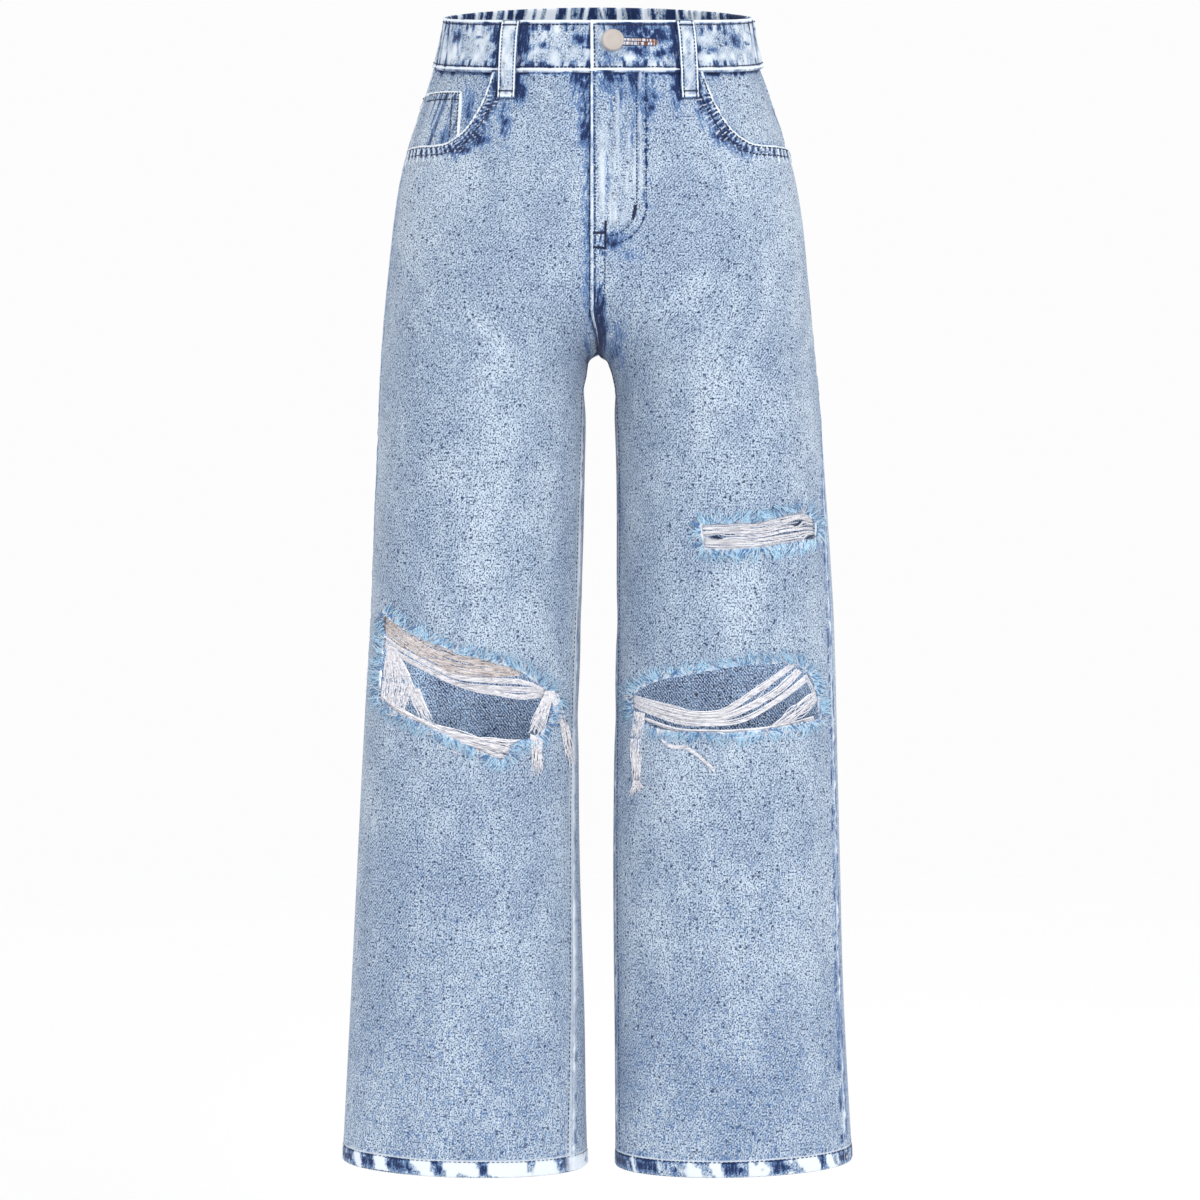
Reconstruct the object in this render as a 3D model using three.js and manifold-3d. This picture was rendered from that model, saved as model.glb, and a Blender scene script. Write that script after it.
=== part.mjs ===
// Ripped wide-leg jeans, hollow and filled out as when worn, with nobody in them.
// Millimetres. +Z is up, the front faces -Y and +X is the wearer's left.
// The origin is the middle of the waist opening. A "level" is a height below the waist,
// measured at the side seams: 0 at the waist edge, HEM at the bottom of the legs.
import * as THREE from 'three';
import { mergeVertices } from 'three/addons/utils/BufferGeometryUtils.js';
import Module from 'manifold-3d';

const wasm = await Module();
wasm.setup();

// ---- driving sizes -------------------------------------------------------------------
const CLOTH = 1.4; // one layer of denim
const GAP = 0.3; // between pieces that are sewn together
const BAND_HEIGHT = 38;
const BAND_PROUD = 1; // how far the doubled waistband stands out from the panels
const BAND_THICK = 2.8;
const FORK_TOP = -150; // the body starts to part into two legs here
const CROTCH = -262;
const FORK_SLOPE = 0.88; // how fast they part just above the crotch
const ARCH_SLOPE = 2.5; // how fast the gap between the legs opens just below it
const HEM = -891;
const HEM_DEPTH = 12;
const HEM_TILT = 2.5; // the outer side of each hem is this much higher than its middle
const LAP = 5.6; // the fly laps this far over the middle, to the wearer's right
const WAIST_TILT = 0.265; // the waist rises to the back by this share
const WAIST_DISH = 3 / 85 ** 2;
const YOKE_SIDE = 32; // depth of the back yoke at the side seam and at the middle
const YOKE_MIDDLE = 60;

// Half of the jeans, from the waist down one leg: [level, outer side, middle of the side
// seam, depth in front of it, depth behind]. The key is the sign of X, so 1 is the wearer's
// left and -1 the right.
const BODY = [
  [0, 119, 0, 85, 85],
  [-BAND_HEIGHT, 127, 1, 91, 92],
  [-95, 146, 4, 102, 104],
  [-142, 156.5, 6, 106, 111],
  [-204, 164, 6, 107, 111],
  [CROTCH, 169, 5, 102, 103],
];
const HALVES = {
  '-1': [
    ...BODY,
    [-337, 172, 4, 95, 96],
    [-454, 176.5, 2, 86, 86],
    [-532, 181, 0, 79, 79],
    [-650, 187, 0, 74, 73],
    [-766, 192.5, 0, 69, 69],
    [HEM, 199, 0, 65, 65],
  ],
  1: [
    ...BODY,
    [-337, 175.5, 4, 95, 96],
    [-454, 182.5, 2, 86, 86],
    [-532, 185.5, 0, 79, 79],
    [-650, 189, 0, 74, 73],
    [-766, 192, 0, 69, 69],
    [HEM, 198, 0, 65, 65],
  ],
};
// Half the gap between the legs, on each side: [level, inner side of the leg].
const INNER = {
  '-1': [[CROTCH, 9], [-337, 9], [-454, 12], [-532, 14.5], [-650, 14], [-766, 11], [HEM, 9]],
  1: [[CROTCH, 11], [-337, 14], [-454, 14], [-532, 13], [-650, 12], [-766, 13], [HEM, 13.5]],
};
// How far each seam has turned to the front, in degrees: [level, angle].
const OUTSEAM_TURN = {
  '-1': [[0, 5], [-95, 9], [-337, 9], [-454, -2], [-532, -5], [HEM, -8]],
  1: [[0, -5], [-204, -4], [CROTCH, 0], [-337, 12], [-376, 18], [-454, 20], [HEM, 22]],
};
const INSEAM_TURN = {
  '-1': [[CROTCH, 0], [-300, 15], [-532, 17], [HEM, 28]],
  1: [[CROTCH, 0], [-300, 10], [-532, 10.5], [HEM, 11]],
};

// Rows and columns of the faceted walls. The rows are close together at the crotch.
const COLUMNS = 12;
const ROWS = [
  -54, -70, -90, -110, -140, -170, -195, -215, -232, -247, -257, CROTCH, CROTCH - 1,
  CROTCH - 4, CROTCH - 9, CROTCH - 18, -302, -345, -400, -460, -532, -610, -740, HEM,
];

// ---- the form ------------------------------------------------------------------------
const mix = (a, b, t) => a + (b - a) * t;
const clamp01 = (t) => Math.min(Math.max(t, 0), 1);

function ease(t) {
  const c = clamp01(t);
  return c * c * (3 - 2 * c);
}

// A smooth curve through one column of a list of stations, which run downwards.
function station(rows, column, level) {
  const slope = (i) => {
    const a = rows[Math.max(i - 1, 0)];
    const b = rows[Math.min(i + 1, rows.length - 1)];
    return (b[column] - a[column]) / (b[0] - a[0]);
  };
  const at = Math.min(Math.max(level, rows[rows.length - 1][0]), rows[0][0]);
  let i = 0;
  while (i < rows.length - 2 && rows[i + 1][0] > at) i += 1;
  const step = rows[i + 1][0] - rows[i][0];
  const t = (at - rows[i][0]) / step;
  const h1 = t * t * (3 - 2 * t);
  const h2 = t * (1 - t) * (1 - t) * step;
  const h3 = t * t * (t - 1) * step;
  return mix(rows[i][column], rows[i + 1][column], h1) + h2 * slope(i) + h3 * slope(i + 1);
}

// Every section is an oval from the outer side to an inner side. On the body the inner side
// is the far side of the jeans, so both halves share one oval. Down the fork it comes in to
// the middle, and the two ovals part there: where they cross is the crotch seam.
function innerSide(side, level, outer) {
  if (level >= FORK_TOP) return -outer;
  if (level >= CROTCH) {
    const t = (level - CROTCH) / (FORK_TOP - CROTCH);
    return -outer * (FORK_SLOPE * t * (1 - t) ** 2 + ease(t));
  }
  const gap = station(INNER[side], 1, level);
  return gap * (1 - Math.exp((ARCH_SLOPE * (level - CROTCH)) / gap));
}

// The oval at a level. It is an ellipse at the waist and on the legs, and squarer at the hips.
function oval(side, level) {
  const [outer, seamY, front, back] = [1, 2, 3, 4].map((c) => station(HALVES[side], c, level));
  const inner = innerSide(side, level, outer);
  const power = 2 + 0.5 * ease(-level / 140) * (1 - ease((-142 - level) / 120));
  const middle = (outer + inner) / 2;
  return { outer, seamY, front, back, middle, half: (outer - inner) / 2, power };
}

// How far the oval reaches in front of its middle, or behind it, at a distance from X = 0.
function depthAt(shape, away, face) {
  const share = Math.min(Math.abs(away - shape.middle) / shape.half, 1);
  const depth = face > 0 ? shape.front : shape.back;
  return depth * (1 - share ** shape.power) ** (1 / shape.power);
}

const SAMPLES = 96;
const sections = new Map();

// One level of one panel as a line of points from the outseam to the middle seam or the
// inseam, with the length so far at each. face is 1 for a front panel and -1 for a back one.
function section(side, face, level) {
  const key = `${side} ${face} ${level}`;
  if (sections.has(key)) return sections.get(key);
  const shape = oval(side, level);
  const start = THREE.MathUtils.degToRad(station(OUTSEAM_TURN[side], 1, level));
  const turned = THREE.MathUtils.degToRad(station(INSEAM_TURN[side], 1, level));
  const middleSeam = Math.acos(-((shape.middle / shape.half) ** (shape.power / 2)));
  const end = level >= CROTCH ? face * middleSeam : face * Math.PI - turned;
  const lap = face > 0 ? LAP * (1 - ease((-235 - level) / 24)) : 0;
  const points = [];
  const lengths = [0];
  for (let k = 0; k <= SAMPLES; k += 1) {
    const angle = mix(start, end, k / SAMPLES);
    const cosine = Math.cos(angle);
    const forward = Math.sin(angle) >= 0 ? 1 : -1;
    const reach = shape.half * Math.sign(cosine) * Math.abs(cosine) ** (2 / shape.power);
    const away = shape.middle + reach;
    const x = side * away - lap * (1 - away / shape.outer) ** 2;
    const y = shape.seamY - forward * depthAt(shape, Math.abs(x), forward);
    points.push(new THREE.Vector2(x + (side * GAP) / 2, y));
    if (k > 0) lengths.push(lengths[k - 1] + points[k].distanceTo(points[k - 1]));
  }
  const made = { points, lengths, total: lengths[SAMPLES], middle: shape.middle, half: shape.half };
  sections.set(key, made);
  return made;
}

// A point of the outer surface. share runs from 0 at the outseam to 1 at the other seam.
function place(side, face, share, level) {
  const { points, lengths, total, middle, half } = section(side, face, level);
  const goal = share * total;
  let k = 1;
  while (k < SAMPLES && lengths[k] < goal) k += 1;
  const t = (goal - lengths[k - 1]) / (lengths[k] - lengths[k - 1]);
  const { x, y } = points[k - 1].clone().lerp(points[k], t);
  const waistFade = 1 - ease((-45 - level) / 185);
  const hemFade = ease((-700 - level) / (-700 - HEM));
  const lift = (WAIST_TILT * y + WAIST_DISH * y * y) * waistFade
    + (HEM_TILT * hemFade * (Math.abs(x) - middle)) / half;
  return new THREE.Vector3(x, y, level + lift);
}

// The outward normal: square to the section, and tipped by the slope of the wall.
function normalAt(side, face, share, level) {
  const near = 0.004;
  const before = place(side, face, Math.max(share - near, 0), level);
  const after = place(side, face, Math.min(share + near, 1), level);
  const turn = side * face;
  let nx = turn * (before.y - after.y);
  let ny = turn * (after.x - before.x);
  if (share > 0.98 && level >= CROTCH && (face < 0 || level < FORK_TOP)) nx = 0;
  const n = Math.hypot(nx, ny);
  nx /= n;
  ny /= n;
  const step = level > CROTCH - 0.01 ? 0.05 : -0.05;
  const next = place(side, face, share, level + step).sub(place(side, face, share, level));
  return new THREE.Vector3(nx, ny, -(nx * next.x + ny * next.y) / next.z).normalize();
}

function offsetPoint(side, face, share, level, out) {
  const normal = normalAt(side, face, share, level);
  return place(side, face, share, level).addScaledVector(normal, out);
}

// ---- building solids -----------------------------------------------------------------
function solid(positions, faces) {
  const geometry = new THREE.BufferGeometry();
  geometry.setAttribute('position', new THREE.Float32BufferAttribute(positions, 3));
  geometry.setIndex(faces);
  return geometry;
}

// A wall between an outer and an inner grid of points. outer(i, j) and inner(i, j) give the
// points for column i of columns and row j of rows. A closed wall joins its last column to
// its first. flip turns the faces over, for a grid that runs the other way round.
function wall(columns, rows, outer, inner, { closed = false, flip = false } = {}) {
  const positions = [];
  const faces = [];
  const across = closed ? columns : columns + 1;
  for (const grid of [outer, inner]) {
    for (let j = 0; j <= rows; j += 1) {
      for (let i = 0; i < across; i += 1) positions.push(...grid(i, j).toArray());
    }
  }
  const layer = across * (rows + 1);
  const id = (i, j, inside) => j * across + (i % across) + (inside ? layer : 0);
  const quad = (a, b, c, d) => {
    if (flip) faces.push(a, b, c, a, c, d);
    else faces.push(a, c, b, a, d, c);
  };
  for (let j = 0; j < rows; j += 1) {
    for (let i = 0; i < columns; i += 1) {
      quad(id(i, j), id(i + 1, j), id(i + 1, j + 1), id(i, j + 1));
      quad(id(i, j, true), id(i, j + 1, true), id(i + 1, j + 1, true), id(i + 1, j, true));
    }
  }
  for (let i = 0; i < columns; i += 1) {
    quad(id(i, 0, true), id(i + 1, 0, true), id(i + 1, 0), id(i, 0));
    quad(id(i, rows), id(i + 1, rows), id(i + 1, rows, true), id(i, rows, true));
  }
  if (!closed) {
    for (let j = 0; j < rows; j += 1) {
      quad(id(0, j, true), id(0, j), id(0, j + 1), id(0, j + 1, true));
      quad(id(columns, j), id(columns, j, true), id(columns, j + 1, true), id(columns, j + 1));
    }
  }
  return solid(positions, faces);
}

// Part of a front or back panel as a wall from out to out - thick, measured from the outer
// surface. levels are numbers, or functions of the share for a slanting edge.
function panelWall(side, face, levels, out = 0, thick = CLOTH) {
  const at = (depth) => (i, j) => {
    const share = i / COLUMNS;
    const level = typeof levels[j] === 'function' ? levels[j](share) : levels[j];
    const trim = GAP / 2 / section(side, face, level).total;
    return offsetPoint(side, face, mix(trim, 1 - trim, share), level, depth);
  };
  return wall(COLUMNS, levels.length - 1, at(out), at(out - thick), { flip: side * face > 0 });
}

function toManifold(geometry) {
  const merged = mergeVertices(geometry, 1e-5);
  return new wasm.Manifold(new wasm.Mesh({
    numProp: 3,
    vertProperties: new Float32Array(merged.attributes.position.array),
    triVerts: new Uint32Array(merged.index.array),
  }));
}

function toGeometry(manifold) {
  const { vertProperties, triVerts } = manifold.getMesh();
  return solid(Array.from(vertProperties), Array.from(triVerts));
}

// An outline in X and Z, pushed through along Y from nearY to farY.
function prism(outline, nearY, farY) {
  const shape = new THREE.Shape(outline.map(([x, z]) => new THREE.Vector2(x, z)));
  const geometry = new THREE.ExtrudeGeometry(shape, { depth: farY - nearY, bevelEnabled: false });
  geometry.deleteAttribute('normal');
  geometry.deleteAttribute('uv');
  // The shape's Y becomes Z, and its depth becomes -Y, so that no face turns inside out.
  geometry.rotateX(Math.PI / 2);
  geometry.translate(0, farY, 0);
  return toManifold(geometry);
}

const FRONT_Y = [-140, -3]; // reach of a cut that goes through the front wall only
const BACK_Y = [0, 140];

function cut(geometry, outline) {
  return toGeometry(toManifold(geometry).subtract(prism(outline, ...FRONT_Y)));
}

function keep(geometry, outline, reach = FRONT_Y) {
  return toGeometry(toManifold(geometry).intersect(prism(outline, ...reach)));
}

// The point of the wall above the hips at a given X, for what is sewn on there.
function torsoPoint(face, x, level, out) {
  const shape = oval(1, level);
  const at = (across) => new THREE.Vector2(
    across,
    shape.seamY - face * depthAt(shape, Math.abs(across), face),
  );
  const { y } = at(x);
  const along = at(x + 0.1).sub(at(x - 0.1)).normalize();
  const fade = 1 - ease((-45 - level) / 185);
  return new THREE.Vector3(
    x + face * along.y * out,
    y - face * along.x * out,
    level + (WAIST_TILT * y + WAIST_DISH * y * y) * fade,
  );
}

// ---- materials -----------------------------------------------------------------------
const material = (color, roughness, metalness = 0) => (
  new THREE.MeshStandardMaterial({ color, roughness, metalness }));
const denim = material(0xa6b6cd, 0.9);
const thread = material(0xe6e8ee, 0.85);
const zipBrass = material(0xb08d4a, 0.35, 0.9);
const coatedMetal = material(0xd6cec6, 0.45, 0.3);

const jeans = new THREE.Group();

function add(name, geometry, look) {
  const mesh = new THREE.Mesh(geometry, look);
  mesh.name = name;
  jeans.add(mesh);
}

const SIDES = [['left', 1], ['right', -1]];
const BAND_EDGE = -BAND_HEIGHT;
const panelTop = BAND_EDGE - GAP / 2;

// ---- waistband -----------------------------------------------------------------------
const bandLevels = [0, BAND_EDGE / 2, BAND_EDGE + GAP / 2];
for (const [name, side] of SIDES) {
  add(`waistband_front_${name}`, panelWall(side, 1, bandLevels, BAND_PROUD, BAND_THICK), denim);
}

// The back band is one piece from side seam to side seam.
const bandAt = (depth) => (i, j) => {
  const side = i <= COLUMNS ? 1 : -1;
  const trim = GAP / 2 / section(side, -1, bandLevels[j]).total;
  const share = Math.max(i <= COLUMNS ? i / COLUMNS : 2 - i / COLUMNS, trim);
  const point = offsetPoint(side, -1, share, bandLevels[j], depth);
  if (i === COLUMNS) point.x = 0;
  return point;
};
add('waistband_back',
  wall(2 * COLUMNS, bandLevels.length - 1, bandAt(BAND_PROUD), bandAt(BAND_PROUD - BAND_THICK)),
  denim);

// ---- rips ----------------------------------------------------------------------------
// Each hole is an outline in X and Z on the front of a leg, clockwise from its outer end.
const THIGH_HOLE = [
  [77, -397], [99, -396.5], [122, -395], [141, -390], [157, -387],
  [165, -394], [166, -407], [137, -412.5], [106, -416], [80, -415.5],
];
const LEFT_KNEE_HOLE = [
  [25, -528.5], [32, -521], [47, -514.5], [66, -510.5], [88, -506], [110, -503], [137, -501],
  [153, -503.5], [162, -512], [168, -530], [168, -545], [134, -550.5], [103, -554],
  [77, -554], [47, -552.5], [28, -542],
];
const RIGHT_KNEE_HOLE = [
  [-163, -464], [-146, -476.5], [-126, -485.5], [-104, -494], [-81, -500.5], [-59, -507.5],
  [-40, -521], [-34, -526], [-36, -548], [-46, -561], [-58, -561], [-70, -579], [-81, -571],
  [-104, -561], [-126, -550.5], [-150, -541], [-167, -529], [-165, -500],
];
const HOLES = { 1: [THIGH_HOLE, LEFT_KNEE_HOLE], '-1': [RIGHT_KNEE_HOLE] };

// ---- front panels, with the scoops of the side pockets cut out -------------------------
// A scoop runs from the waistband down and out to the side seam.
const SCOOP = [[79, -57], [87, -77], [98, -96], [109, -105.5], [121, -109], [148, -105]];
const scoopOutline = (side) => [...SCOOP, [200, -105], [200, 0], [79, 0]].map(
  ([x, z]) => [side * x, z],
);
for (const [name, side] of SIDES) {
  let panel = panelWall(side, 1, [panelTop, ...ROWS]);
  for (const outline of [scoopOutline(side), ...HOLES[side]]) panel = cut(panel, outline);
  add(`front_${name}`, panel, denim);
}

// ---- side pockets: the facing behind each scoop, and the coin pocket -------------------
const COIN_DEPTH = -CLOTH - GAP; // just behind the front panel
const COIN_THICK = 1;
const FACING_DEPTH = COIN_DEPTH - COIN_THICK - GAP;
const FACING_THICK = 1.2;
const pocketRows = [panelTop, ...ROWS.slice(0, 4), -122];
const facingOutline = (side) => [[68, 0], [200, 0], [200, -140], [68, -140]].map(
  ([x, z]) => [side * x, z],
);
const POCKET_Y = [-140, 60];
for (const [name, side] of SIDES) {
  const layer = panelWall(side, 1, pocketRows, FACING_DEPTH, FACING_THICK);
  add(`pocket_facing_${name}`, keep(layer, facingOutline(side), POCKET_Y), denim);
}
const COIN_POCKET = [[-104, -66], [-106, -120], [-180, -120], [-180, -50], [-129, -61]];
const coinLayer = panelWall(-1, 1, [...pocketRows.slice(0, 5), -116], COIN_DEPTH, COIN_THICK);
add('coin_pocket', keep(coinLayer, COIN_POCKET, POCKET_Y), denim);

// ---- fly: the facing that the curved stitching holds, and the zip behind it ------------
const FLY_WIDTH = 39;
const FLY_BOTTOM = -193;
const FLY_CURVE = 30; // radius of its lower corner
const flyOutline = [[-LAP + GAP, -40], [-LAP + GAP, FLY_BOTTOM]];
for (let k = 0; k <= 6; k += 1) {
  const turn = (k / 6) * (Math.PI / 2);
  flyOutline.push([
    FLY_WIDTH - FLY_CURVE * (1 - Math.sin(turn)),
    FLY_BOTTOM + FLY_CURVE * (1 - Math.cos(turn)),
  ]);
}
flyOutline.push([FLY_WIDTH, -40]);
const flyRows = [panelTop, ...ROWS.slice(0, 9)]; // down past the bottom of the facing
const FLY_DEPTH = -CLOTH - GAP;
const FLY_THICK = 1;
add('fly_facing', keep(panelWall(1, 1, flyRows, FLY_DEPTH, FLY_THICK), flyOutline), denim);
const ZIP_DEPTH = FLY_DEPTH - FLY_THICK - GAP;
const ZIP_THICK = 1.6;
const zipOutline = [[-3, -64], [21, -64], [21, -182], [-3, -182]];
add('fly_zip', keep(panelWall(1, 1, flyRows, ZIP_DEPTH, ZIP_THICK), zipOutline), zipBrass);

// ---- button ----------------------------------------------------------------------------
const BUTTON_RADIUS = 8.3;
const BUTTON_X = 11;
const BUTTON_LEVEL = -15.5;
const buttonProfile = [
  [0, 0.6], [3.5, 0.6], [3.5, 1.8], [7.6, 1.8], [BUTTON_RADIUS, 2.4], [BUTTON_RADIUS, 3.4],
  [7.6, 4], [6.4, 4.2], [0, 4.2],
].map(([r, h]) => new THREE.Vector2(r, h));
const buttonGeometry = new THREE.LatheGeometry(buttonProfile, 20);
const buttonFoot = torsoPoint(1, BUTTON_X, BUTTON_LEVEL, BAND_PROUD);
const buttonAway = torsoPoint(1, BUTTON_X, BUTTON_LEVEL, BAND_PROUD + 1).sub(buttonFoot);
const button = new THREE.Mesh(buttonGeometry, coatedMetal);
button.name = 'button';
button.position.copy(buttonFoot);
button.quaternion.setFromUnitVectors(new THREE.Vector3(0, 1, 0), buttonAway.normalize());
jeans.add(button);

// ---- belt loops ------------------------------------------------------------------------
const LOOP_WIDTH = 13.5;
const LOOP_THICK = 1.8;
// [level, stand-off from the panel line]: over the band, then down on to the panel.
const LOOP_PATH = [[-0.5, 1.8], [-12, 3.2], [-26, 3.2], [-38, 2.6], [-48, 1.5], [-59, 0.9]];
const LOOPS = {
  loop_front_left: [1, 64.5, 69],
  loop_front_right: [1, -64.5, -68.5],
  loop_side_left: [-1, 80, 84],
  loop_side_right: [-1, -80, -84],
  loop_back: [-1, 0, 0],
};
for (const [name, [face, topX, bottomX]] of Object.entries(LOOPS)) {
  const at = (thick) => (i, j) => {
    const [level, out] = LOOP_PATH[j];
    const middle = mix(topX, bottomX, level / LOOP_PATH[LOOP_PATH.length - 1][0]);
    return torsoPoint(face, middle + (i - 0.5) * LOOP_WIDTH, level, out + thick);
  };
  add(name, wall(1, LOOP_PATH.length - 1, at(LOOP_THICK), at(0), { flip: face < 0 }), denim);
}

// ---- back: yokes, panels and patch pockets ---------------------------------------------
const yokeLine = (share) => BAND_EDGE - mix(YOKE_SIDE, YOKE_MIDDLE, share);
for (const [name, side] of SIDES) {
  const middle = (share) => (panelTop + yokeLine(share)) / 2;
  const bottom = (share) => yokeLine(share) + GAP / 2;
  add(`yoke_${name}`, panelWall(side, -1, [panelTop, middle, bottom]), denim);
  const top = (share) => yokeLine(share) - GAP / 2;
  const next = (share) => (yokeLine(share) + ROWS[3]) / 2;
  add(`back_${name}`, panelWall(side, -1, [top, next, ...ROWS.slice(3)]), denim);
}
// A patch pocket, pointed at the bottom: half widths at the top and bottom, about its middle.
const PATCH_X = 66;
const patchOutline = [[-56, -70], [56, -70], [49, -184], [0, -197], [-49, -184]];
for (const [name, side] of SIDES) {
  const layer = panelWall(side, -1, ROWS.slice(3, 8), CLOTH + GAP, CLOTH);
  const outline = patchOutline.map(([x, z]) => [side * (PATCH_X + x), z]);
  add(`back_pocket_${name}`, keep(layer, outline, BACK_Y), denim);
}

// ---- hems: the turned-up band inside the bottom of each leg ----------------------------
const HEM_THICK = 2;
const hemLevels = [HEM + HEM_DEPTH, HEM];
for (const [name, side] of SIDES) {
  const at = (depth) => (i, j) => {
    const face = i <= COLUMNS ? 1 : -1;
    const share = i <= COLUMNS ? i / COLUMNS : 2 - i / COLUMNS;
    return offsetPoint(side, face, share, hemLevels[j], depth);
  };
  const outer = -CLOTH - 2 * GAP;
  add(`hem_${name}`,
    wall(2 * COLUMNS, 1, at(outer), at(outer - HEM_THICK), { closed: true, flip: side > 0 }),
    denim);
}

// ---- white threads across the rips, and the fringes that hang from them ------------------
const THREAD_THICK = 0.6;
const ACROSS = -CLOTH - GAP; // threads that cross a hole lie just behind the panel
const HANGING = THREAD_THICK + 0.4; // loose ends hang just in front of it
const legRows = [-337, -395, -454, -532, -610];
const THREADS = {
  threads_thigh: [1, ACROSS, [
    [73, -393], [99, -392.5], [122, -391], [141, -386], [158, -383.5],
    [168, -391], [169, -410], [138, -416.5], [106, -420], [76, -419],
  ]],
  threads_knee_left: [1, ACROSS, [
    [24, -526], [57, -535], [77, -539], [95, -535], [125, -517], [150, -501], [160, -505],
    [161, -546], [141, -547], [137, -531], [107, -547], [77, -550], [55, -548], [24, -538],
  ]],
  threads_knee_right_upper: [-1, ACROSS, [
    [-167, -462], [-146, -472], [-126, -481.5], [-104, -490], [-81, -496.5], [-57, -503.5],
    [-57, -511], [-87, -512], [-110, -508], [-134, -499], [-157, -484], [-167, -477],
  ]],
  threads_knee_right_middle: [-1, ACROSS, [
    [-167, -484], [-150, -493], [-126, -505], [-105, -514], [-78, -517], [-31, -519],
    [-31, -529], [-78, -525], [-105, -519.5], [-126, -508.5], [-150, -497], [-167, -492],
  ]],
  threads_knee_right_lower: [-1, ACROSS, [
    [-170, -497], [-156, -500], [-136, -521], [-127, -545], [-104, -552], [-77, -555.5],
    [-58, -557], [-55, -563], [-68, -584], [-81, -575], [-104, -565], [-126, -554.5],
    [-150, -545], [-171, -532],
  ]],
  fringe_knee_right: [-1, HANGING, [
    [-37, -523], [-31, -525], [-19, -581], [-26, -583], [-33, -552], [-41, -589], [-50, -589],
    [-54, -556],
  ]],
  fringe_knee_left: [1, HANGING, [
    [27, -541], [37, -541], [34, -562], [37, -599], [24, -605], [28, -562],
  ]],
  fringe_knee_left_loose: [1, HANGING, [
    [47, -555], [55, -562], [68, -564], [81, -573], [88, -581], [86, -583], [80, -576],
    [67, -567], [54, -565], [46, -558],
  ]],
};
for (const [name, [side, out, outline]] of Object.entries(THREADS)) {
  add(name, keep(panelWall(side, 1, legRows, out, THREAD_THICK), outline), thread);
}

export default jeans;
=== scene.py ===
"""Ripped wide-leg jeans in washed denim, filled out as when worn: the looks around the CAD frame.

Lengths are in millimetres here, as in the CAD model, and become metres in add_mesh(). +Z is up,
the front faces -Y and +X is the wearer's left. A "level" is a height below the waist edge,
measured at the side seams, and a "share" runs across a panel, from 0 at its outseam to 1 at its
middle seam or inseam.
"""

import math

import bpy
import numpy as np
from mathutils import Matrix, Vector


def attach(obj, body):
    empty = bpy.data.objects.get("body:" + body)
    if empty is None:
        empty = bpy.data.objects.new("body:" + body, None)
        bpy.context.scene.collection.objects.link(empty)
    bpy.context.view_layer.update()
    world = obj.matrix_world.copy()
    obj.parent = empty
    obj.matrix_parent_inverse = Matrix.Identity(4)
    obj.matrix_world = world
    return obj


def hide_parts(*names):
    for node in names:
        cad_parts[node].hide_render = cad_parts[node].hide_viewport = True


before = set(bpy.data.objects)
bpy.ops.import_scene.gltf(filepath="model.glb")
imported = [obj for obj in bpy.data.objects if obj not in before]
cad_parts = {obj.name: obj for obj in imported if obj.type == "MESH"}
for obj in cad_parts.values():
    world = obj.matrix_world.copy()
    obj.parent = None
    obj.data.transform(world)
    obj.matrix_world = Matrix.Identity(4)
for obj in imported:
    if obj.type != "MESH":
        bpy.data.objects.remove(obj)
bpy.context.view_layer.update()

MM = 0.001
CLOTH = 1.4
BAND_HEIGHT = 38
PANEL_TOP = -BAND_HEIGHT - 0.2
BAND_PROUD = 1
FORK_TOP = -150
CROTCH = -262
FORK_SLOPE = 0.88
ARCH_SLOPE = 2.5
HEM = -891
HEM_DEPTH = 12
HEM_TILT = 2.5
LAP = 5.6
WAIST_TILT = 0.265
WAIST_DISH = 3 / 85**2
YOKE_SIDE = 32
YOKE_MIDDLE = 60
LEFT, RIGHT = 1, -1
FRONT, BACK = 1, -1
SIDE_NAMES = {LEFT: "left", RIGHT: "right"}
# The third cloth coordinate keeps the dye patterns of bands, loops and hems apart from the panels'.
BAND_CLOTH = 4000.0
LOOP_CLOTH = 6000.0
HEM_CLOTH = 9000.0

# [level, outer side, middle of the side seam, depth in front of it, depth behind]
BODY = [
    [0, 119, 0, 85, 85],
    [-BAND_HEIGHT, 127, 1, 91, 92],
    [-95, 146, 4, 102, 104],
    [-142, 156.5, 6, 106, 111],
    [-204, 164, 6, 107, 111],
    [CROTCH, 169, 5, 102, 103],
]
HALVES = {
    RIGHT: BODY
    + [
        [-337, 172, 4, 95, 96],
        [-454, 176.5, 2, 86, 86],
        [-532, 181, 0, 79, 79],
        [-650, 187, 0, 74, 73],
        [-766, 192.5, 0, 69, 69],
        [HEM, 199, 0, 65, 65],
    ],
    LEFT: BODY
    + [
        [-337, 175.5, 4, 95, 96],
        [-454, 182.5, 2, 86, 86],
        [-532, 185.5, 0, 79, 79],
        [-650, 189, 0, 74, 73],
        [-766, 192, 0, 69, 69],
        [HEM, 198, 0, 65, 65],
    ],
}
# Half the gap between the legs: [level, inner side of the leg].
INNER = {
    RIGHT: [[CROTCH, 9], [-337, 9], [-454, 12], [-532, 14.5], [-650, 14], [-766, 11], [HEM, 9]],
    LEFT: [[CROTCH, 11], [-337, 14], [-454, 14], [-532, 13], [-650, 12], [-766, 13], [HEM, 13.5]],
}
# How far each seam has turned to the front, in degrees: [level, angle].
OUTSEAM_TURN = {
    RIGHT: [[0, 5], [-95, 9], [-337, 9], [-454, -2], [-532, -5], [HEM, -8]],
    LEFT: [[0, -5], [-204, -4], [CROTCH, 0], [-337, 12], [-376, 18], [-454, 20], [HEM, 22]],
}
INSEAM_TURN = {
    RIGHT: [[CROTCH, 0], [-300, 15], [-532, 17], [HEM, 28]],
    LEFT: [[CROTCH, 0], [-300, 10], [-532, 10.5], [HEM, 11]],
}


# ---- small helpers ---------------------------------------------------------------------
def ease(t):
    c = np.clip(t, 0, 1)
    return c * c * (3 - 2 * c)


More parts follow.
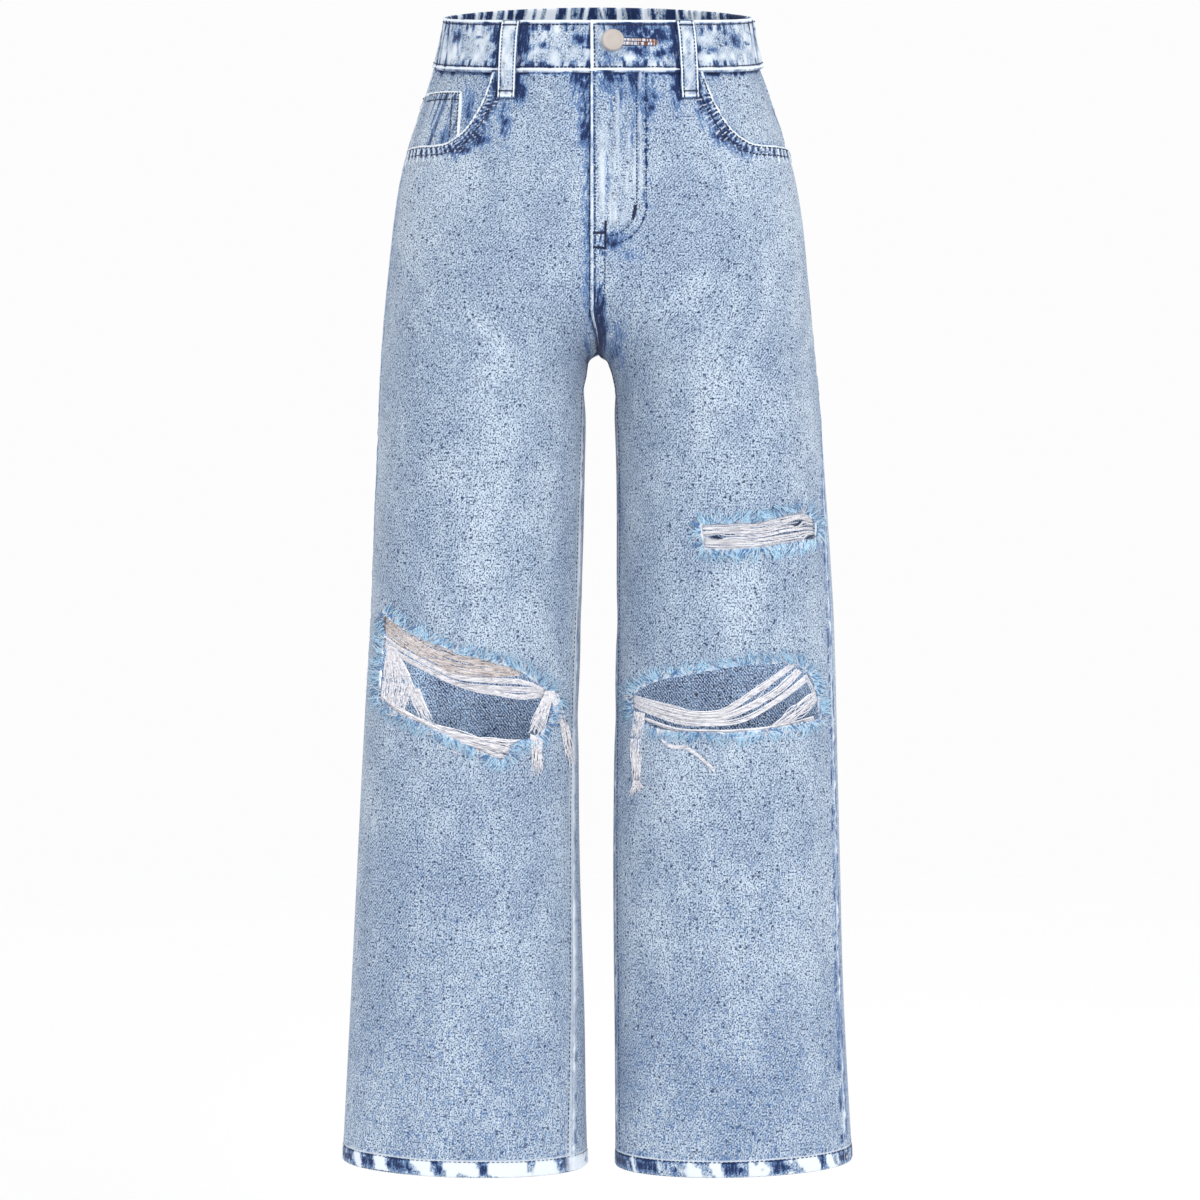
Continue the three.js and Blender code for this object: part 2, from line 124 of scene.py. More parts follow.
def bump(distance, width):
    """A soft hill, 1 at distance 0 and gone a little past width."""
    return np.exp(-((distance / width) ** 2))


def noise(u, v, size, seed):
    """Smooth random waves between -1 and 1. size is the length of a wave, or one for each way."""
    wide, high = size if isinstance(size, tuple) else (size, size)
    lattice = np.random.default_rng(seed).uniform(-1, 1, (61, 67))
    a, b = np.asarray(u, float) / wide, np.asarray(v, float) / high
    i, j = np.floor(a).astype(int), np.floor(b).astype(int)
    s, t = ease(a - i), ease(b - j)
    grid = lambda m, n: lattice[(i + m) % 61, (j + n) % 67]
    top = grid(0, 0) * (1 - s) + grid(1, 0) * s
    return top * (1 - t) + (grid(0, 1) * (1 - s) + grid(1, 1) * s) * t


def spaced(*stretches):
    """Numbers along a line: each stretch is (end, step), and the first end is the start."""
    values = [float(stretches[0])]
    for end, step in stretches[1:]:
        count = max(1, round(abs(end - values[-1]) / step))
        values.extend(np.linspace(values[-1], end, count + 1)[1:])
    return np.array(values)


def smooth_line(points, step):
    """A smooth curve through a few points, as closely spaced points."""
    p = np.array(points, float)
    ends = np.vstack([2 * p[0] - p[1], p, 2 * p[-1] - p[-2]])
    out = []
    for k in range(1, len(ends) - 2):
        a, b, c, d = ends[k - 1 : k + 3]
        count = max(2, int(np.linalg.norm(c - b) / step))
        t = np.linspace(0, 1, count, endpoint=False)[:, None]
        out.append(
            0.5 * (2 * b + (c - a) * t + (2 * a - 5 * b + 4 * c - d) * t**2 + (3 * b - a - 3 * c + d) * t**3)
        )
    return np.vstack([*out, p[-1:]])


def along(points, spots):
    """Points at these shares of the length of a line."""
    steps = np.linalg.norm(np.diff(points, axis=0), axis=1)
    length = np.concatenate([[0], np.cumsum(steps)])
    goals = np.asarray(spots) * length[-1]
    return np.stack([np.interp(goals, length, points[:, k]) for k in range(points.shape[1])], -1)


def outline_distance(x, z, outline, closed=True):
    """Distance to an outline, negative inside it where it is closed."""
    p = np.array(outline, float)
    q = np.roll(p, -1, axis=0) if closed else p[1:]
    p = p if closed else p[:-1]
    best = np.full(np.shape(x), 1e9)
    inside = np.zeros(np.shape(x), bool)
    for (ax, az), (bx, bz) in zip(p, q):
        ex, ez = bx - ax, bz - az
        t = np.clip(((x - ax) * ex + (z - az) * ez) / (ex * ex + ez * ez), 0, 1)
        best = np.minimum(best, np.hypot(x - ax - t * ex, z - az - t * ez))
        if closed and az != bz:
            crosses = (az > z) != (bz > z)
            inside ^= crosses & (x < ax + (z - az) * ex / (bz - az))
    return np.where(inside, -best, best)


# ---- the form, as in the CAD model -------------------------------------------------------
def station(rows, column, level):
    """A smooth curve through one column of a list of stations, which run downwards."""
    table = np.array(rows, float)
    at, value = table[:, 0], table[:, column]
    last = len(at) - 1
    before, after = np.maximum(np.arange(last + 1) - 1, 0), np.minimum(np.arange(last + 1) + 1, last)
    slope = (value[after] - value[before]) / (at[after] - at[before])
    level = np.clip(level, at[-1], at[0])
    i = np.clip(np.searchsorted(-at, -level, side="right") - 1, 0, last - 1)
    step = at[i + 1] - at[i]
    t = (level - at[i]) / step
    curve = value[i] + (value[i + 1] - value[i]) * t * t * (3 - 2 * t)
    return curve + t * (1 - t) ** 2 * step * slope[i] + t * t * (t - 1) * step * slope[i + 1]


def inner_side(side, level, outer):
    t = (level - CROTCH) / (FORK_TOP - CROTCH)
    fork = -outer * (FORK_SLOPE * t * (1 - t) ** 2 + ease(t))
    gap = station(INNER[side], 1, level)
    leg = gap * (1 - np.exp(np.minimum(ARCH_SLOPE * (level - CROTCH) / gap, 0)))
    return np.where(level >= FORK_TOP, -outer, np.where(level >= CROTCH, fork, leg))


class Panel:
    """The outer surface of one front or back panel, with the waistband above it."""

    SAMPLES = 240
    COLUMNS = 161

    def __init__(self, side, face):
        self.side, self.face = side, face
        self.levels = spaced(0, (-250, 1), (CROTCH, 0.5), (CROTCH - 20, 0.25), (HEM, 1))
        self.shares = np.linspace(0, 1, self.COLUMNS)
        level = self.levels[:, None]
        outer, seam_y, front, back = (station(HALVES[side], c, level) for c in (1, 2, 3, 4))
        inner = inner_side(side, level, outer)
        middle, half = (outer + inner) / 2, (outer - inner) / 2
        power = 2 + 0.5 * ease(-level / 140) * (1 - ease((-142 - level) / 120))
        start = np.radians(station(OUTSEAM_TURN[side], 1, level))
        turned = np.radians(station(INSEAM_TURN[side], 1, level))
        middle_seam = np.arccos(-np.clip((middle / half) ** (power / 2), 0, 1))
        end = np.where(level >= CROTCH, face * middle_seam, face * np.pi - turned)
        lap = LAP * (1 - ease((-235 - level) / 24)) if face > 0 else 0
        angle = start + (end - start) * np.linspace(0, 1, self.SAMPLES)
        cosine = np.cos(angle)
        forward = np.where(np.sin(angle) >= 0, 1, -1)
        away = middle + half * np.sign(cosine) * np.abs(cosine) ** (2 / power)
        x = side * away - lap * (1 - away / outer) ** 2
        reach = np.minimum(np.abs(np.abs(x) - middle) / half, 1)
        depth = np.where(forward > 0, front, back) * (1 - reach**power) ** (1 / power)
        y = seam_y - forward * depth
        lengths = np.hypot(np.diff(x, axis=1), np.diff(y, axis=1)).cumsum(axis=1)
        lengths = np.hstack([np.zeros((len(lengths), 1)), lengths])
        self.width = lengths[:, -1]
        rows = range(len(self.levels))
        x = np.array([np.interp(self.shares * self.width[r], lengths[r], x[r]) for r in rows])
        y = np.array([np.interp(self.shares * self.width[r], lengths[r], y[r]) for r in rows])
        waist_fade = 1 - ease((-45 - level) / 185)
        hem_fade = ease((-700 - level) / (-700 - HEM))
        lift = (WAIST_TILT * y + WAIST_DISH * y * y) * waist_fade
        z = level + lift + HEM_TILT * hem_fade * (np.abs(x) - middle) / half
        self.points = self._softened(np.stack([x, y, z], -1))
        across = np.gradient(self.points, axis=1)
        down = np.gradient(self.points, axis=0)
        normals = -side * face * np.cross(down, across)
        self.normals = normals / np.linalg.norm(normals, axis=-1, keepdims=True)

    def _softened(self, points):
        """The same points, with the change of slope at the crotch spread over 5 cm of level."""
        moved = np.zeros_like(points)
        offsets = np.linspace(-24, 24, 13)
        weights = 1 + np.cos(np.pi * offsets / 26)
        for offset, weight in zip(offsets, weights / weights.sum()):
            row = np.interp(-self.levels - offset, -self.levels, np.arange(len(self.levels)))
            r = np.clip(row.astype(int), 0, len(self.levels) - 2)
            a = (row - r)[:, None, None]
            moved += weight * (points[r] * (1 - a) + points[r + 1] * a)
        near_crotch = ease((64 - np.abs(self.levels - CROTCH)) / 34)[:, None]
        off_the_seam = 1 - ease((self.shares - 0.7) / 0.25)
        return points + (moved - points) * (near_crotch * off_the_seam)[..., None]

    def _spot(self, share, level):
        share, level = np.broadcast_arrays(np.asarray(share, float), np.asarray(level, float))
        row = np.interp(-level, -self.levels, np.arange(len(self.levels)))
        column = np.clip(share, 0, 1) * (self.COLUMNS - 1)
        r = np.clip(row.astype(int), 0, len(self.levels) - 2)
        c = np.clip(column.astype(int), 0, self.COLUMNS - 2)
        return r, c, (row - r)[..., None], (column - c)[..., None]

    def _look_up(self, table, spot):
        r, c, a, b = spot
        upper = table[r, c] * (1 - b) + table[r, c + 1] * b
        return upper * (1 - a) + (table[r + 1, c] * (1 - b) + table[r + 1, c + 1] * b) * a

    def at(self, share, level, out=0):
        """Points that stand out from the plain form, and the normals there."""
        spot = self._spot(share, level)
        normal = self._look_up(self.normals, spot)
        normal = normal / np.linalg.norm(normal, axis=-1, keepdims=True)
        point = self._look_up(self.points, spot)
        return point + normal * np.asarray(out, float)[..., None], normal

    def width_at(self, level):
        return np.interp(-np.asarray(level, float), -self.levels, self.width)

    def find(self, x, z):
        """The share and level where the surface has this X and Z."""
        x, z = np.atleast_1d(np.asarray(x, float)), np.atleast_1d(np.asarray(z, float))
        share, level = np.zeros_like(x), np.minimum(z, 0)
        for _ in range(14):
            for k in range(len(x)):
                r = int(np.argmin(np.abs(self.levels - level[k])))
                row = self.points[r, :, 0] * self.side
                front = slice(int(np.argmax(row)), None)
                share[k] = np.interp(-self.side * x[k], -row[front], self.shares[front])
            point, _ = self.at(share, level)
            level = np.clip(level + z - point[..., 2], HEM, 0)
        return share, level


PANELS = {(side, face): Panel(side, face) for side in (LEFT, RIGHT) for face in (FRONT, BACK)}


# ---- meshes ------------------------------------------------------------------------------
def add_mesh(name, points, faces, materials, nodes=(), attributes=None, inside=None, sharp=50):
    """A named piece, made from points in millimetres. inside marks the faces of the second material."""
    mesh = bpy.data.meshes.new(name)
    mesh.from_pydata((np.asarray(points) * MM).tolist(), [], [tuple(map(int, f)) for f in faces])
    for key, values in (attributes or {}).items():
        values = np.asarray(values, float)
        kind, field = ("FLOAT_VECTOR", "vector") if values.ndim == 2 else ("FLOAT", "value")
        mesh.attributes.new(key, kind, "POINT").data.foreach_set(field, values.ravel())
    for material in materials:
        mesh.materials.append(material)
    if inside is not None:
        mesh.polygons.foreach_set("material_index", np.asarray(inside, int))
    mesh.polygons.foreach_set("use_smooth", np.ones(len(mesh.polygons), bool))
    mesh.set_sharp_from_angle(angle=math.radians(sharp))
    mesh.update()
    piece = bpy.data.objects.new(name, mesh)
    bpy.context.scene.collection.objects.link(piece)
    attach(piece, "root")
    if nodes:
        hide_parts(*nodes)


def cut_grid(field, flip):
    """The faces of a grid of points where field is positive, cut off where it falls to 0.

    It gives the faces and, for each point on the cut, the two grid points it lies between and
    its share of the way from the first to the second.
    """
    rows, columns = field.shape
    value = field.ravel()
    corner = np.arange(rows * columns).reshape(rows, columns)
    quads = np.stack([corner[:-1, :-1], corner[:-1, 1:], corner[1:, 1:], corner[1:, :-1]], -1)
    quads = quads.reshape(-1, 4)
    if flip:
        quads = quads[:, ::-1]
    inside = value[quads] > 0
    faces = quads[inside.all(axis=1)].tolist()
    cuts, between = {}, []
    crossed = inside.any(axis=1) & ~inside.all(axis=1)
    for quad, kept in zip(quads[crossed], inside[crossed]):
        face = []
        for k in range(4):
            a, b = int(quad[k]), int(quad[(k + 1) % 4])
            if kept[k]:
                face.append(a)
            if kept[k] != kept[(k + 1) % 4]:
                key = (min(a, b), max(a, b))
                if key not in cuts:
                    low, high = value[key[0]], value[key[1]]
                    cuts[key] = rows * columns + len(between)
                    between.append((*key, np.clip(low / (low - high), 0.03, 0.97)))
                face.append(cuts[key])
        faces.append(face)
    return faces, np.array(between).reshape(-1, 3)


def ring_faces(ring, following, flip):
    """The faces between closed rings of points and the rings that follow them."""
    faces = np.stack([ring, following, np.roll(following, -1, 1), np.roll(ring, -1, 1)], -1).reshape(-1, 4)
    return (faces[:, ::-1] if flip else faces).tolist()


def shell(points, normals, faces, thick):
    """A sheet with a second layer behind it and a rim: points, faces and which faces are inside."""
    count = len(points)
    thick = np.broadcast_to(thick, (count,))[:, None]
    edges = {(f[k - 1], f[k]) for f in faces for k in range(len(f))}
    rim = [(b, a, a + count, b + count) for a, b in edges if (b, a) not in edges]
    rim.sort()
    back = [[i + count for i in reversed(f)] for f in faces]
    inside = [0] * len(faces) + [1] * len(back) + [0] * len(rim)
    return np.vstack([points, points - normals * thick]), [*faces, *back, *rim], inside


class Surface:
    """Spots on a panel's outer face, and what the cloth does there.

    relief is how far the cloth stands out in millimetres. The dye and wear values run from 0 to 1: how
    dark the dye has stayed, with painted shade added along seams, creases, loops, rips and leg edges,
    and how white an edge has rubbed, with painted light added on ridges and one inner leg edge.
    """

    def __init__(self, panel, share, level):
        self.panel = panel
        self.share, self.level = np.broadcast_arrays(np.asarray(share, float), np.asarray(level, float))
        self.point, self.normal = panel.at(self.share, self.level)
        self.x, self.z = self.point[..., 0], self.point[..., 2]
        self.width = panel.width_at(self.level)
        self.from_outseam = self.share * self.width
        self.from_middle = (1 - self.share) * self.width
        self.below_band = -BAND_HEIGHT - self.level
        self.above_hem = self.level - HEM
        # Distance across as seen from outside, to the right, so that the twill leans one way.
        self.across = -panel.side * panel.face * (self.share - 0.5) * self.width
        self.relief = np.zeros(self.share.shape)
        self.dye_and_painted_shade = np.zeros(self.share.shape)
        self.wear_and_painted_light = np.zeros(self.share.shape)
        self.seed = 10 * (panel.side + 2) + panel.face

    def ridge(self, height, dye_and_painted_shade=0.0, wear_and_painted_light=0.0):
        self.relief += height
        self.dye_and_painted_shade = np.maximum(self.dye_and_painted_shade, dye_and_painted_shade)
        self.wear_and_painted_light = np.maximum(self.wear_and_painted_light, wear_and_painted_light)

    def placed(self, out=0):
        return self.point + self.normal * (self.relief + np.asarray(out))[..., None]

    def attributes(self):
        cloth = np.stack([self.across, self.level, np.full(self.share.shape, self.seed * 1000.0)], -1)
        return {"cloth": cloth * MM, "dye_and_painted_shade": self.dye_and_painted_shade, "wear_and_painted_light": self.wear_and_painted_light}


def cloth_piece(name, surface, materials, nodes, out=0, thick=CLOTH, field=None):
    """A cloth shell over a grid of spots. field is positive where there is cloth."""
    flip = surface.panel.side * surface.panel.face < 0
    field = np.ones(surface.share.shape) if field is None else field
    faces, between = cut_grid(field, flip)
    first, second = between[:, 0].astype(int), between[:, 1].astype(int)
    weight = between[:, 2]

    def with_cuts(values):
        flat = values.reshape(surface.share.size, -1)
        added = flat[first] + (flat[second] - flat[first]) * weight[:, None]
        return np.vstack([flat, added])

    used = np.unique([i for f in faces for i in f])
    number = np.full(surface.share.size + len(between), -1)
    number[used] = np.arange(len(used))
    faces = [[int(number[i]) for i in f] for f in faces]
    points = with_cuts(surface.placed(out))[used]
    normals = with_cuts(surface.normal)[used]
    thick = with_cuts(np.broadcast_to(thick, surface.share.shape).copy())[used][:, 0]
    attributes = {}
    for key, values in surface.attributes().items():
        flat = with_cuts(values)[used]
        attributes[key] = np.vstack([flat, flat]) if flat.shape[1] > 1 else np.tile(flat[:, 0], 2)
    points, faces, inside = shell(points, normals, faces, thick)
    add_mesh(name, points, faces, materials, nodes, attributes, inside)


def tube_parts(paths, sides):
    """Joined tubes. Each path is (points, radii, up), and up is roughly square to the path."""
    points, faces, start = [], [], 0
    turn = np.linspace(0, 2 * np.pi, sides, endpoint=False)
    for line, radii, up in paths:
        line, up = np.asarray(line, float), np.asarray(up, float)
        radii = np.broadcast_to(radii, (len(line),))
        tangent = np.gradient(line, axis=0)
        tangent /= np.linalg.norm(tangent, axis=1, keepdims=True) + 1e-9
        side = np.cross(tangent, up)
        side /= np.linalg.norm(side, axis=1, keepdims=True) + 1e-9
        top = np.cross(side, tangent)
        ring = side[:, None] * np.cos(turn)[None, :, None] + top[:, None] * np.sin(turn)[None, :, None]
        points.append((line[:, None] + ring * radii[:, None, None]).reshape(-1, 3))
        rings = start + np.arange(len(line) * sides).reshape(-1, sides)
        a, b = rings[:-1], rings[1:]
        quads = np.stack([a, np.roll(a, -1, 1), np.roll(b, -1, 1), b], -1).reshape(-1, 4)
        faces.extend(quads.tolist())
        faces.append(rings[0][::-1].tolist())
        faces.append(rings[-1].tolist())
        start += len(line) * sides
    return np.vstack(points), faces


STITCH_SIDES = 3


def stitches(lines, pitch=3.2, length=2.5, radius=0.36, seed=1):
    """Stitches along lines of (points, normals), as short bowed tubes that dip into the cloth."""
    random = np.random.default_rng(seed)
    paths = []
    for points, normals in lines:
        steps = np.linalg.norm(np.diff(points, axis=0), axis=1)
        total = steps.sum()
        count = max(1, int(total / pitch))
        starts = (np.arange(count) + 0.5) * total / count - length / 2
        for start in starts + random.uniform(-0.15, 0.15, count):
            spots = np.clip((start + np.array([0, 0.18, 0.5, 0.82, 1]) * length) / total, 0, 1)
            line = along(points, spots)
            up = along(normals, spots)
            rise = np.array([-0.35, 0.1, 0.22, 0.1, -0.35])[:, None]
            paths.append((line + up * rise, radius * np.array([0.6, 1, 1, 1, 0.6]), up))
    return tube_parts(paths, STITCH_SIDES)


# ---- materials ---------------------------------------------------------------------------
def rgb(red, green, blue):
    """A colour given from 0 to 255 as it looks on screen."""
    linear = [((c / 255 + 0.055) / 1.055) ** 2.4 if c > 10 else c / 255 / 12.92 for c in (red, green, blue)]
    return (*linear, 1)


class Nodes:
    """Makes a material's nodes, with each input given as a number, a colour or a socket."""

    def __init__(self, name, roughness=0.9, sheen=0.0):
        self.material = bpy.data.materials.new(name)
        self.material.use_nodes = True
        self.tree = self.material.node_tree
        self.shader = self.tree.nodes["Principled BSDF"]
        self.shader.inputs["Roughness"].default_value = roughness
        self.shader.inputs["Specular IOR Level"].default_value = 0.2
        self.shader.inputs["Sheen Weight"].default_value = sheen

    def add(self, kind, inputs=(), output=0, **settings):
        node = self.tree.nodes.new(kind)
        for key, value in settings.items():
            setattr(node, key, value)
        for key, value in dict(inputs).items():
            if isinstance(value, bpy.types.NodeSocket):
                self.tree.links.new(value, node.inputs[key])
            else:
                node.inputs[key].default_value = value
        return node.outputs[output]

    def math(self, operation, a, b):
        return self.add("ShaderNodeMath", {0: a, 1: b}, operation=operation)

    def between(self, value, low, high):
        """0 at low and under, 1 at high and over, smooth between them."""
        return self.add(
            "ShaderNodeMapRange",
            {"Value": value, "From Min": low, "From Max": high},
            interpolation_type="SMOOTHSTEP",
        )

    def blend(self, factor, a, b):
        return self.add("ShaderNodeMix", {0: factor, 6: a, 7: b}, 2, data_type="RGBA")

    def attribute(self, name, output="Fac"):
        return self.add("ShaderNodeAttribute", output=output, attribute_name=name)

    def noise(self, vector, scale, detail=2.0, rough=0.5):
        inputs = {"Vector": vector, "Scale": scale, "Detail": detail, "Roughness": rough}
        return self.add("ShaderNodeTexNoise", inputs)

    def mapped(self, vector, scale=(1, 1, 1), turn=0.0):
        inputs = {"Vector": vector, "Scale": scale, "Rotation": (0, 0, turn)}
        return self.add("ShaderNodeMapping", inputs)

    def finish(self, colour, height=None, depth=0.0002, strength=1.0):
        self.tree.links.new(colour, self.shader.inputs["Base Color"])
        if height is not None:
            normal = self.add("ShaderNodeBump", {"Height": height, "Distance": depth, "Strength": strength})
            self.tree.links.new(normal, self.shader.inputs["Normal"])
        return self.material


TWILL_ANGLE = math.radians(50)
TWILL_PITCH = 2.0 * MM


def twill(nodes, cloth):
    """The fine slanting lines of the weave, from 0 to 1, a little uneven."""
    leaning = nodes.mapped(cloth, turn=-TWILL_ANGLE)
    inputs = {"Vector": leaning, "Scale": 1 / TWILL_PITCH / 20 * 2 * math.pi, "Distortion": 0.6}
    inputs.update({"Detail": 2.0, "Detail Scale": 2.5})
    return nodes.add("ShaderNodeTexWave", inputs, 1, wave_type="BANDS", bands_direction="Y")


def denim(name, pale, deep, half_dyed_and_painted_shade, dye_and_painted_shade, fleck, wear_and_painted_light_colour, contrast, lines=0.0):
    """Stone-washed twill: pale cloth, deeper mottling, dark flecks, dye left in patches, rubbed edges,
    and the painted shade and painted light that come in with the dye and the wear.

    contrast is the strength of the mottling, and lines that of the pale lines of the twill.
    """
    n = Nodes(name, sheen=0.15)
    cloth = n.attribute("cloth", "Vector")

    def mottle(squeeze, scale, detail, rough):
        return n.noise(n.mapped(cloth, scale=(1, squeeze, 1)), scale, detail, rough)

    grain = mottle(0.75, 960, 1.5, 0.55)
    coarse = mottle(0.3, 430, 2.0, 0.6)
    clouds = mottle(0.5, 38, 4.0, 0.6)
    broad = mottle(0.6, 11, 2.0, 0.5)
    streak = mottle(0.22, 520, 2.0, 0.6)
    clouds = n.math("ADD", clouds, n.math("MULTIPLY", n.math("SUBTRACT", broad, 0.5), 0.8))
    weave = twill(n, cloth)

    colour = n.blend(n.between(clouds, 0.3, 0.7), pale, deep)
    colour = n.blend(n.between(coarse, 0.46, 0.66), colour, n.blend(0.38 * contrast, colour, fleck))
    if lines:
        colour = n.blend(n.math("MULTIPLY", n.between(weave, 0.45, 0.15), lines), colour, wear_and_painted_light_colour)
    light_spots = n.math("MULTIPLY", n.between(grain, 0.48, 0.36), 0.5 * contrast)
    colour = n.blend(light_spots, colour, wear_and_painted_light_colour)
    colour = n.blend(n.math("MULTIPLY", n.between(grain, 0.53, 0.61), min(0.9 * contrast, 1)), colour, fleck)
    spots = n.add("ShaderNodeTexVoronoi", {"Vector": cloth, "Scale": 210, "Randomness": 1.0})
    spot_colour = spots.node.outputs["Color"]
    chosen = n.between(n.add("ShaderNodeSeparateColor", {0: spot_colour}), 0.45, 0.65)
    dots = n.math("MULTIPLY", n.between(spots, 0.3, 0.14), chosen)
    colour = n.blend(n.math("MULTIPLY", dots, 0.85), colour, dye_and_painted_shade)
    shade = n.math("MULTIPLY", n.between(weave, 0.3, 0.8), n.between(clouds, 0.3, 0.7))
    colour = n.blend(n.math("MULTIPLY", shade, 0.5 * contrast), colour, n.blend(0.6, colour, fleck))

    # The dye value holds real dye with painted shade added, and the wear value rubbed wear with painted light
    # added.
    edge = n.math("MULTIPLY", n.math("SUBTRACT", grain, 0.5), 1.3)
    dye_with_painted_shade = n.math("ADD", n.attribute("dye_and_painted_shade"), n.math("MULTIPLY", edge, 0.6))
    dye_with_painted_shade = n.math("ADD", dye_with_painted_shade, n.math("MULTIPLY", n.math("SUBTRACT", streak, 0.5), 1.5))
    colour = n.blend(n.math("MULTIPLY", n.between(dye_with_painted_shade, 0.16, 0.6), 0.85), colour, half_dyed_and_painted_shade)
    colour = n.blend(n.math("MULTIPLY", n.between(dye_with_painted_shade, 0.5, 0.95), 0.95), colour, dye_and_painted_shade)
    whitening = n.math("ADD", n.attribute("wear_and_painted_light"), n.math("MULTIPLY", edge, 0.35))
    colour = n.blend(n.between(whitening, 0.3, 0.8), colour, wear_and_painted_light_colour)

    height = n.math("ADD", n.math("MULTIPLY", weave, 0.4), grain)
    return n.finish(colour, height, 0.00018, 0.5)


def cotton(name, colour, shadow, stretch=(0.06, 1, 0.7)):
    """Loose cotton yarn, streaked along its length."""
    n = Nodes(name, sheen=0.2)
    where = n.add("ShaderNodeTexCoord", output="Object")
    fibre = n.noise(n.mapped(where, scale=stretch), 900, 2.0, 0.6)
    mottled = n.blend(n.between(fibre, 0.42, 0.72), colour, shadow)
    return n.finish(mottled, fibre, 0.0002, 0.5)


def coated_metal(name):
    """The button's satin beige coating, faintly clouded."""
    n = Nodes(name, roughness=0.42)
    n.shader.inputs["Specular IOR Level"].default_value = 0.5
    where = n.add("ShaderNodeTexCoord", output="Object")
    cloud = n.noise(where, 300, 3.0, 0.6)
    return n.finish(n.blend(cloud, rgb(178, 170, 164), rgb(166, 158, 152)), cloud, 0.00005, 0.4)


def brass(name):
    """Dull yellow metal for the zip's teeth."""
    n = Nodes(name, roughness=0.35)
    n.shader.inputs["Metallic"].default_value = 0.9
    where = n.add("ShaderNodeTexCoord", output="Object")
    cloud = n.noise(where, 500, 2.0, 0.6)
    return n.finish(n.blend(cloud, rgb(190, 156, 92), rgb(150, 118, 62)), cloud, 0.0001, 0.4)


DENIM = denim(
    "washed_denim", rgb(180, 196, 212), rgb(155, 175, 198), rgb(78, 112, 160), rgb(16, 34, 78),
    rgb(42, 62, 100), rgb(221, 229, 238), 1.1,
)
INSIDE = denim(
    "denim_inside", rgb(148, 178, 210), rgb(104, 136, 176), rgb(74, 104, 146), rgb(20, 36, 64),
    rgb(16, 32, 58), rgb(226, 234, 242), 1.6, 0.3,
)
WHITE_THREAD = cotton("white_thread", rgb(232, 231, 235), rgb(172, 170, 180))
BEIGE_THREAD = cotton("beige_thread", rgb(222, 214, 212), rgb(128, 118, 120))
BLUE_THREAD = cotton("blue_thread", rgb(186, 216, 236), rgb(132, 178, 212), (0.6, 1, 0.6))
DEEP_THREAD = cotton("deep_blue_thread", rgb(104, 146, 190), rgb(56, 92, 144), (0.6, 1, 0.6))
STITCH = cotton("stitching", rgb(32, 42, 76), rgb(18, 24, 48))
PALE_STITCH = cotton("pale_stitching", rgb(222, 230, 243), rgb(168, 182, 208))
RUST = cotton("rust_thread", rgb(156, 104, 80), rgb(78, 50, 44))
WHITE_TAPE = cotton("zip_tape", rgb(205, 212, 224), rgb(168, 178, 196))
BUTTON = coated_metal("button_metal")
BRASS = brass("zip_brass")


# ---- what the cloth does -----------------------------------------------------------------
# Dark patches on the front, mostly dye that has stayed, with painted shade at the crotch: X, Z, half width,
# half height, strength.
DARK_PATCHES = [
    (-70, -92, 6, 22, 0.75),
    (-76, -66, 5, 14, 0.9),
    (-58, -70, 5, 14, 0.95),
    (-12, -62, 9, 28, 1.0),
    (-9, -100, 7, 34, 0.8),
    (-16, -46, 12, 7, 0.9),
    (8, -58, 8, 22, 1.0),
    (17, -62, 3, 30, 0.75),
    (27, -58, 6, 24, 0.95),
    (26, -104, 3, 20, 0.5),
    (46, -52, 13, 11, 1.0),
    (38, -78, 9, 22, 0.65),
    (60, -70, 6, 20, 1.0),
    (79, -84, 6, 16, 0.9),
    (93, -104, 10, 10, 0.95),
    (-90, -106, 10, 10, 0.95),
    (-104, -114, 10, 6, 0.8),
    (-40, -46, 14, 5, 0.8),
    # At the crotch: painted shade where the seam turns under, with dye kept there.
    (3, -250, 5, 20, 1.0),
    (-8, -262, 3, 26, 0.7),
    (14, -262, 10, 22, 0.5),
    (12, -186, 12, 7, 0.75),
    (22, -198, 12, 5, 0.5),
]
# Soft folds of the front: the line along it in X and Z, its half width and its height.
FRONT_CREASES = [
    ([(3, -44), (4, -80), (3, -120), (2, -176)], 2.4, 0.6),
    ([(9, -44), (10, -80), (8, -120), (7, -160)], 1.8, -0.9),
    ([(14, -60), (15.5, -80), (13, -120), (13, -176)], 2.6, 1.1),
    ([(18.5, -42), (20, -80), (17.5, -120), (18, -150)], 1.7, -0.8),
    ([(23, -66), (24.5, -90), (22, -130), (20, -172)], 2.6, 0.8),
    ([(32.5, -42), (31, -80), (32.5, -150)], 2.4, 0.5),
    ([(45, -42), (50, -66), (57, -90)], 5, 1.0),
    ([(-20, -42), (-26, -70), (-34, -104)], 6, 0.9),
    ([(-45, -42), (-47, -62), (-52, -84)], 5, 0.8),
    ([(8, -256), (34, -238), (70, -226)], 9, -1.4),
    ([(10, -272), (40, -262), (82, -262)], 10, 1.4),
    ([(-12, -258), (-40, -240), (-78, -230)], 9, -1.4),
    ([(-14, -276), (-44, -268), (-86, -272)], 10, 1.2),
    ([(150, -420), (128, -452), (118, -492)], 7, 1.3),
    ([(60, -430), (72, -462), (70, -500)], 8, -1.2),
    ([(30, -560), (52, -592), (64, -640)], 9, 1.3),
    ([(150, -560), (134, -606), (128, -660)], 9, -1.2),
    ([(-150, -430), (-130, -452), (-112, -480)], 8, 1.2),
    ([(-60, -440), (-70, -470), (-78, -492)], 8, -1.2),
    ([(-60, -590), (-84, -620), (-92, -676)], 9, 1.2),
    ([(-150, -560), (-134, -604), (-128, -650)], 9, -1.2),
]
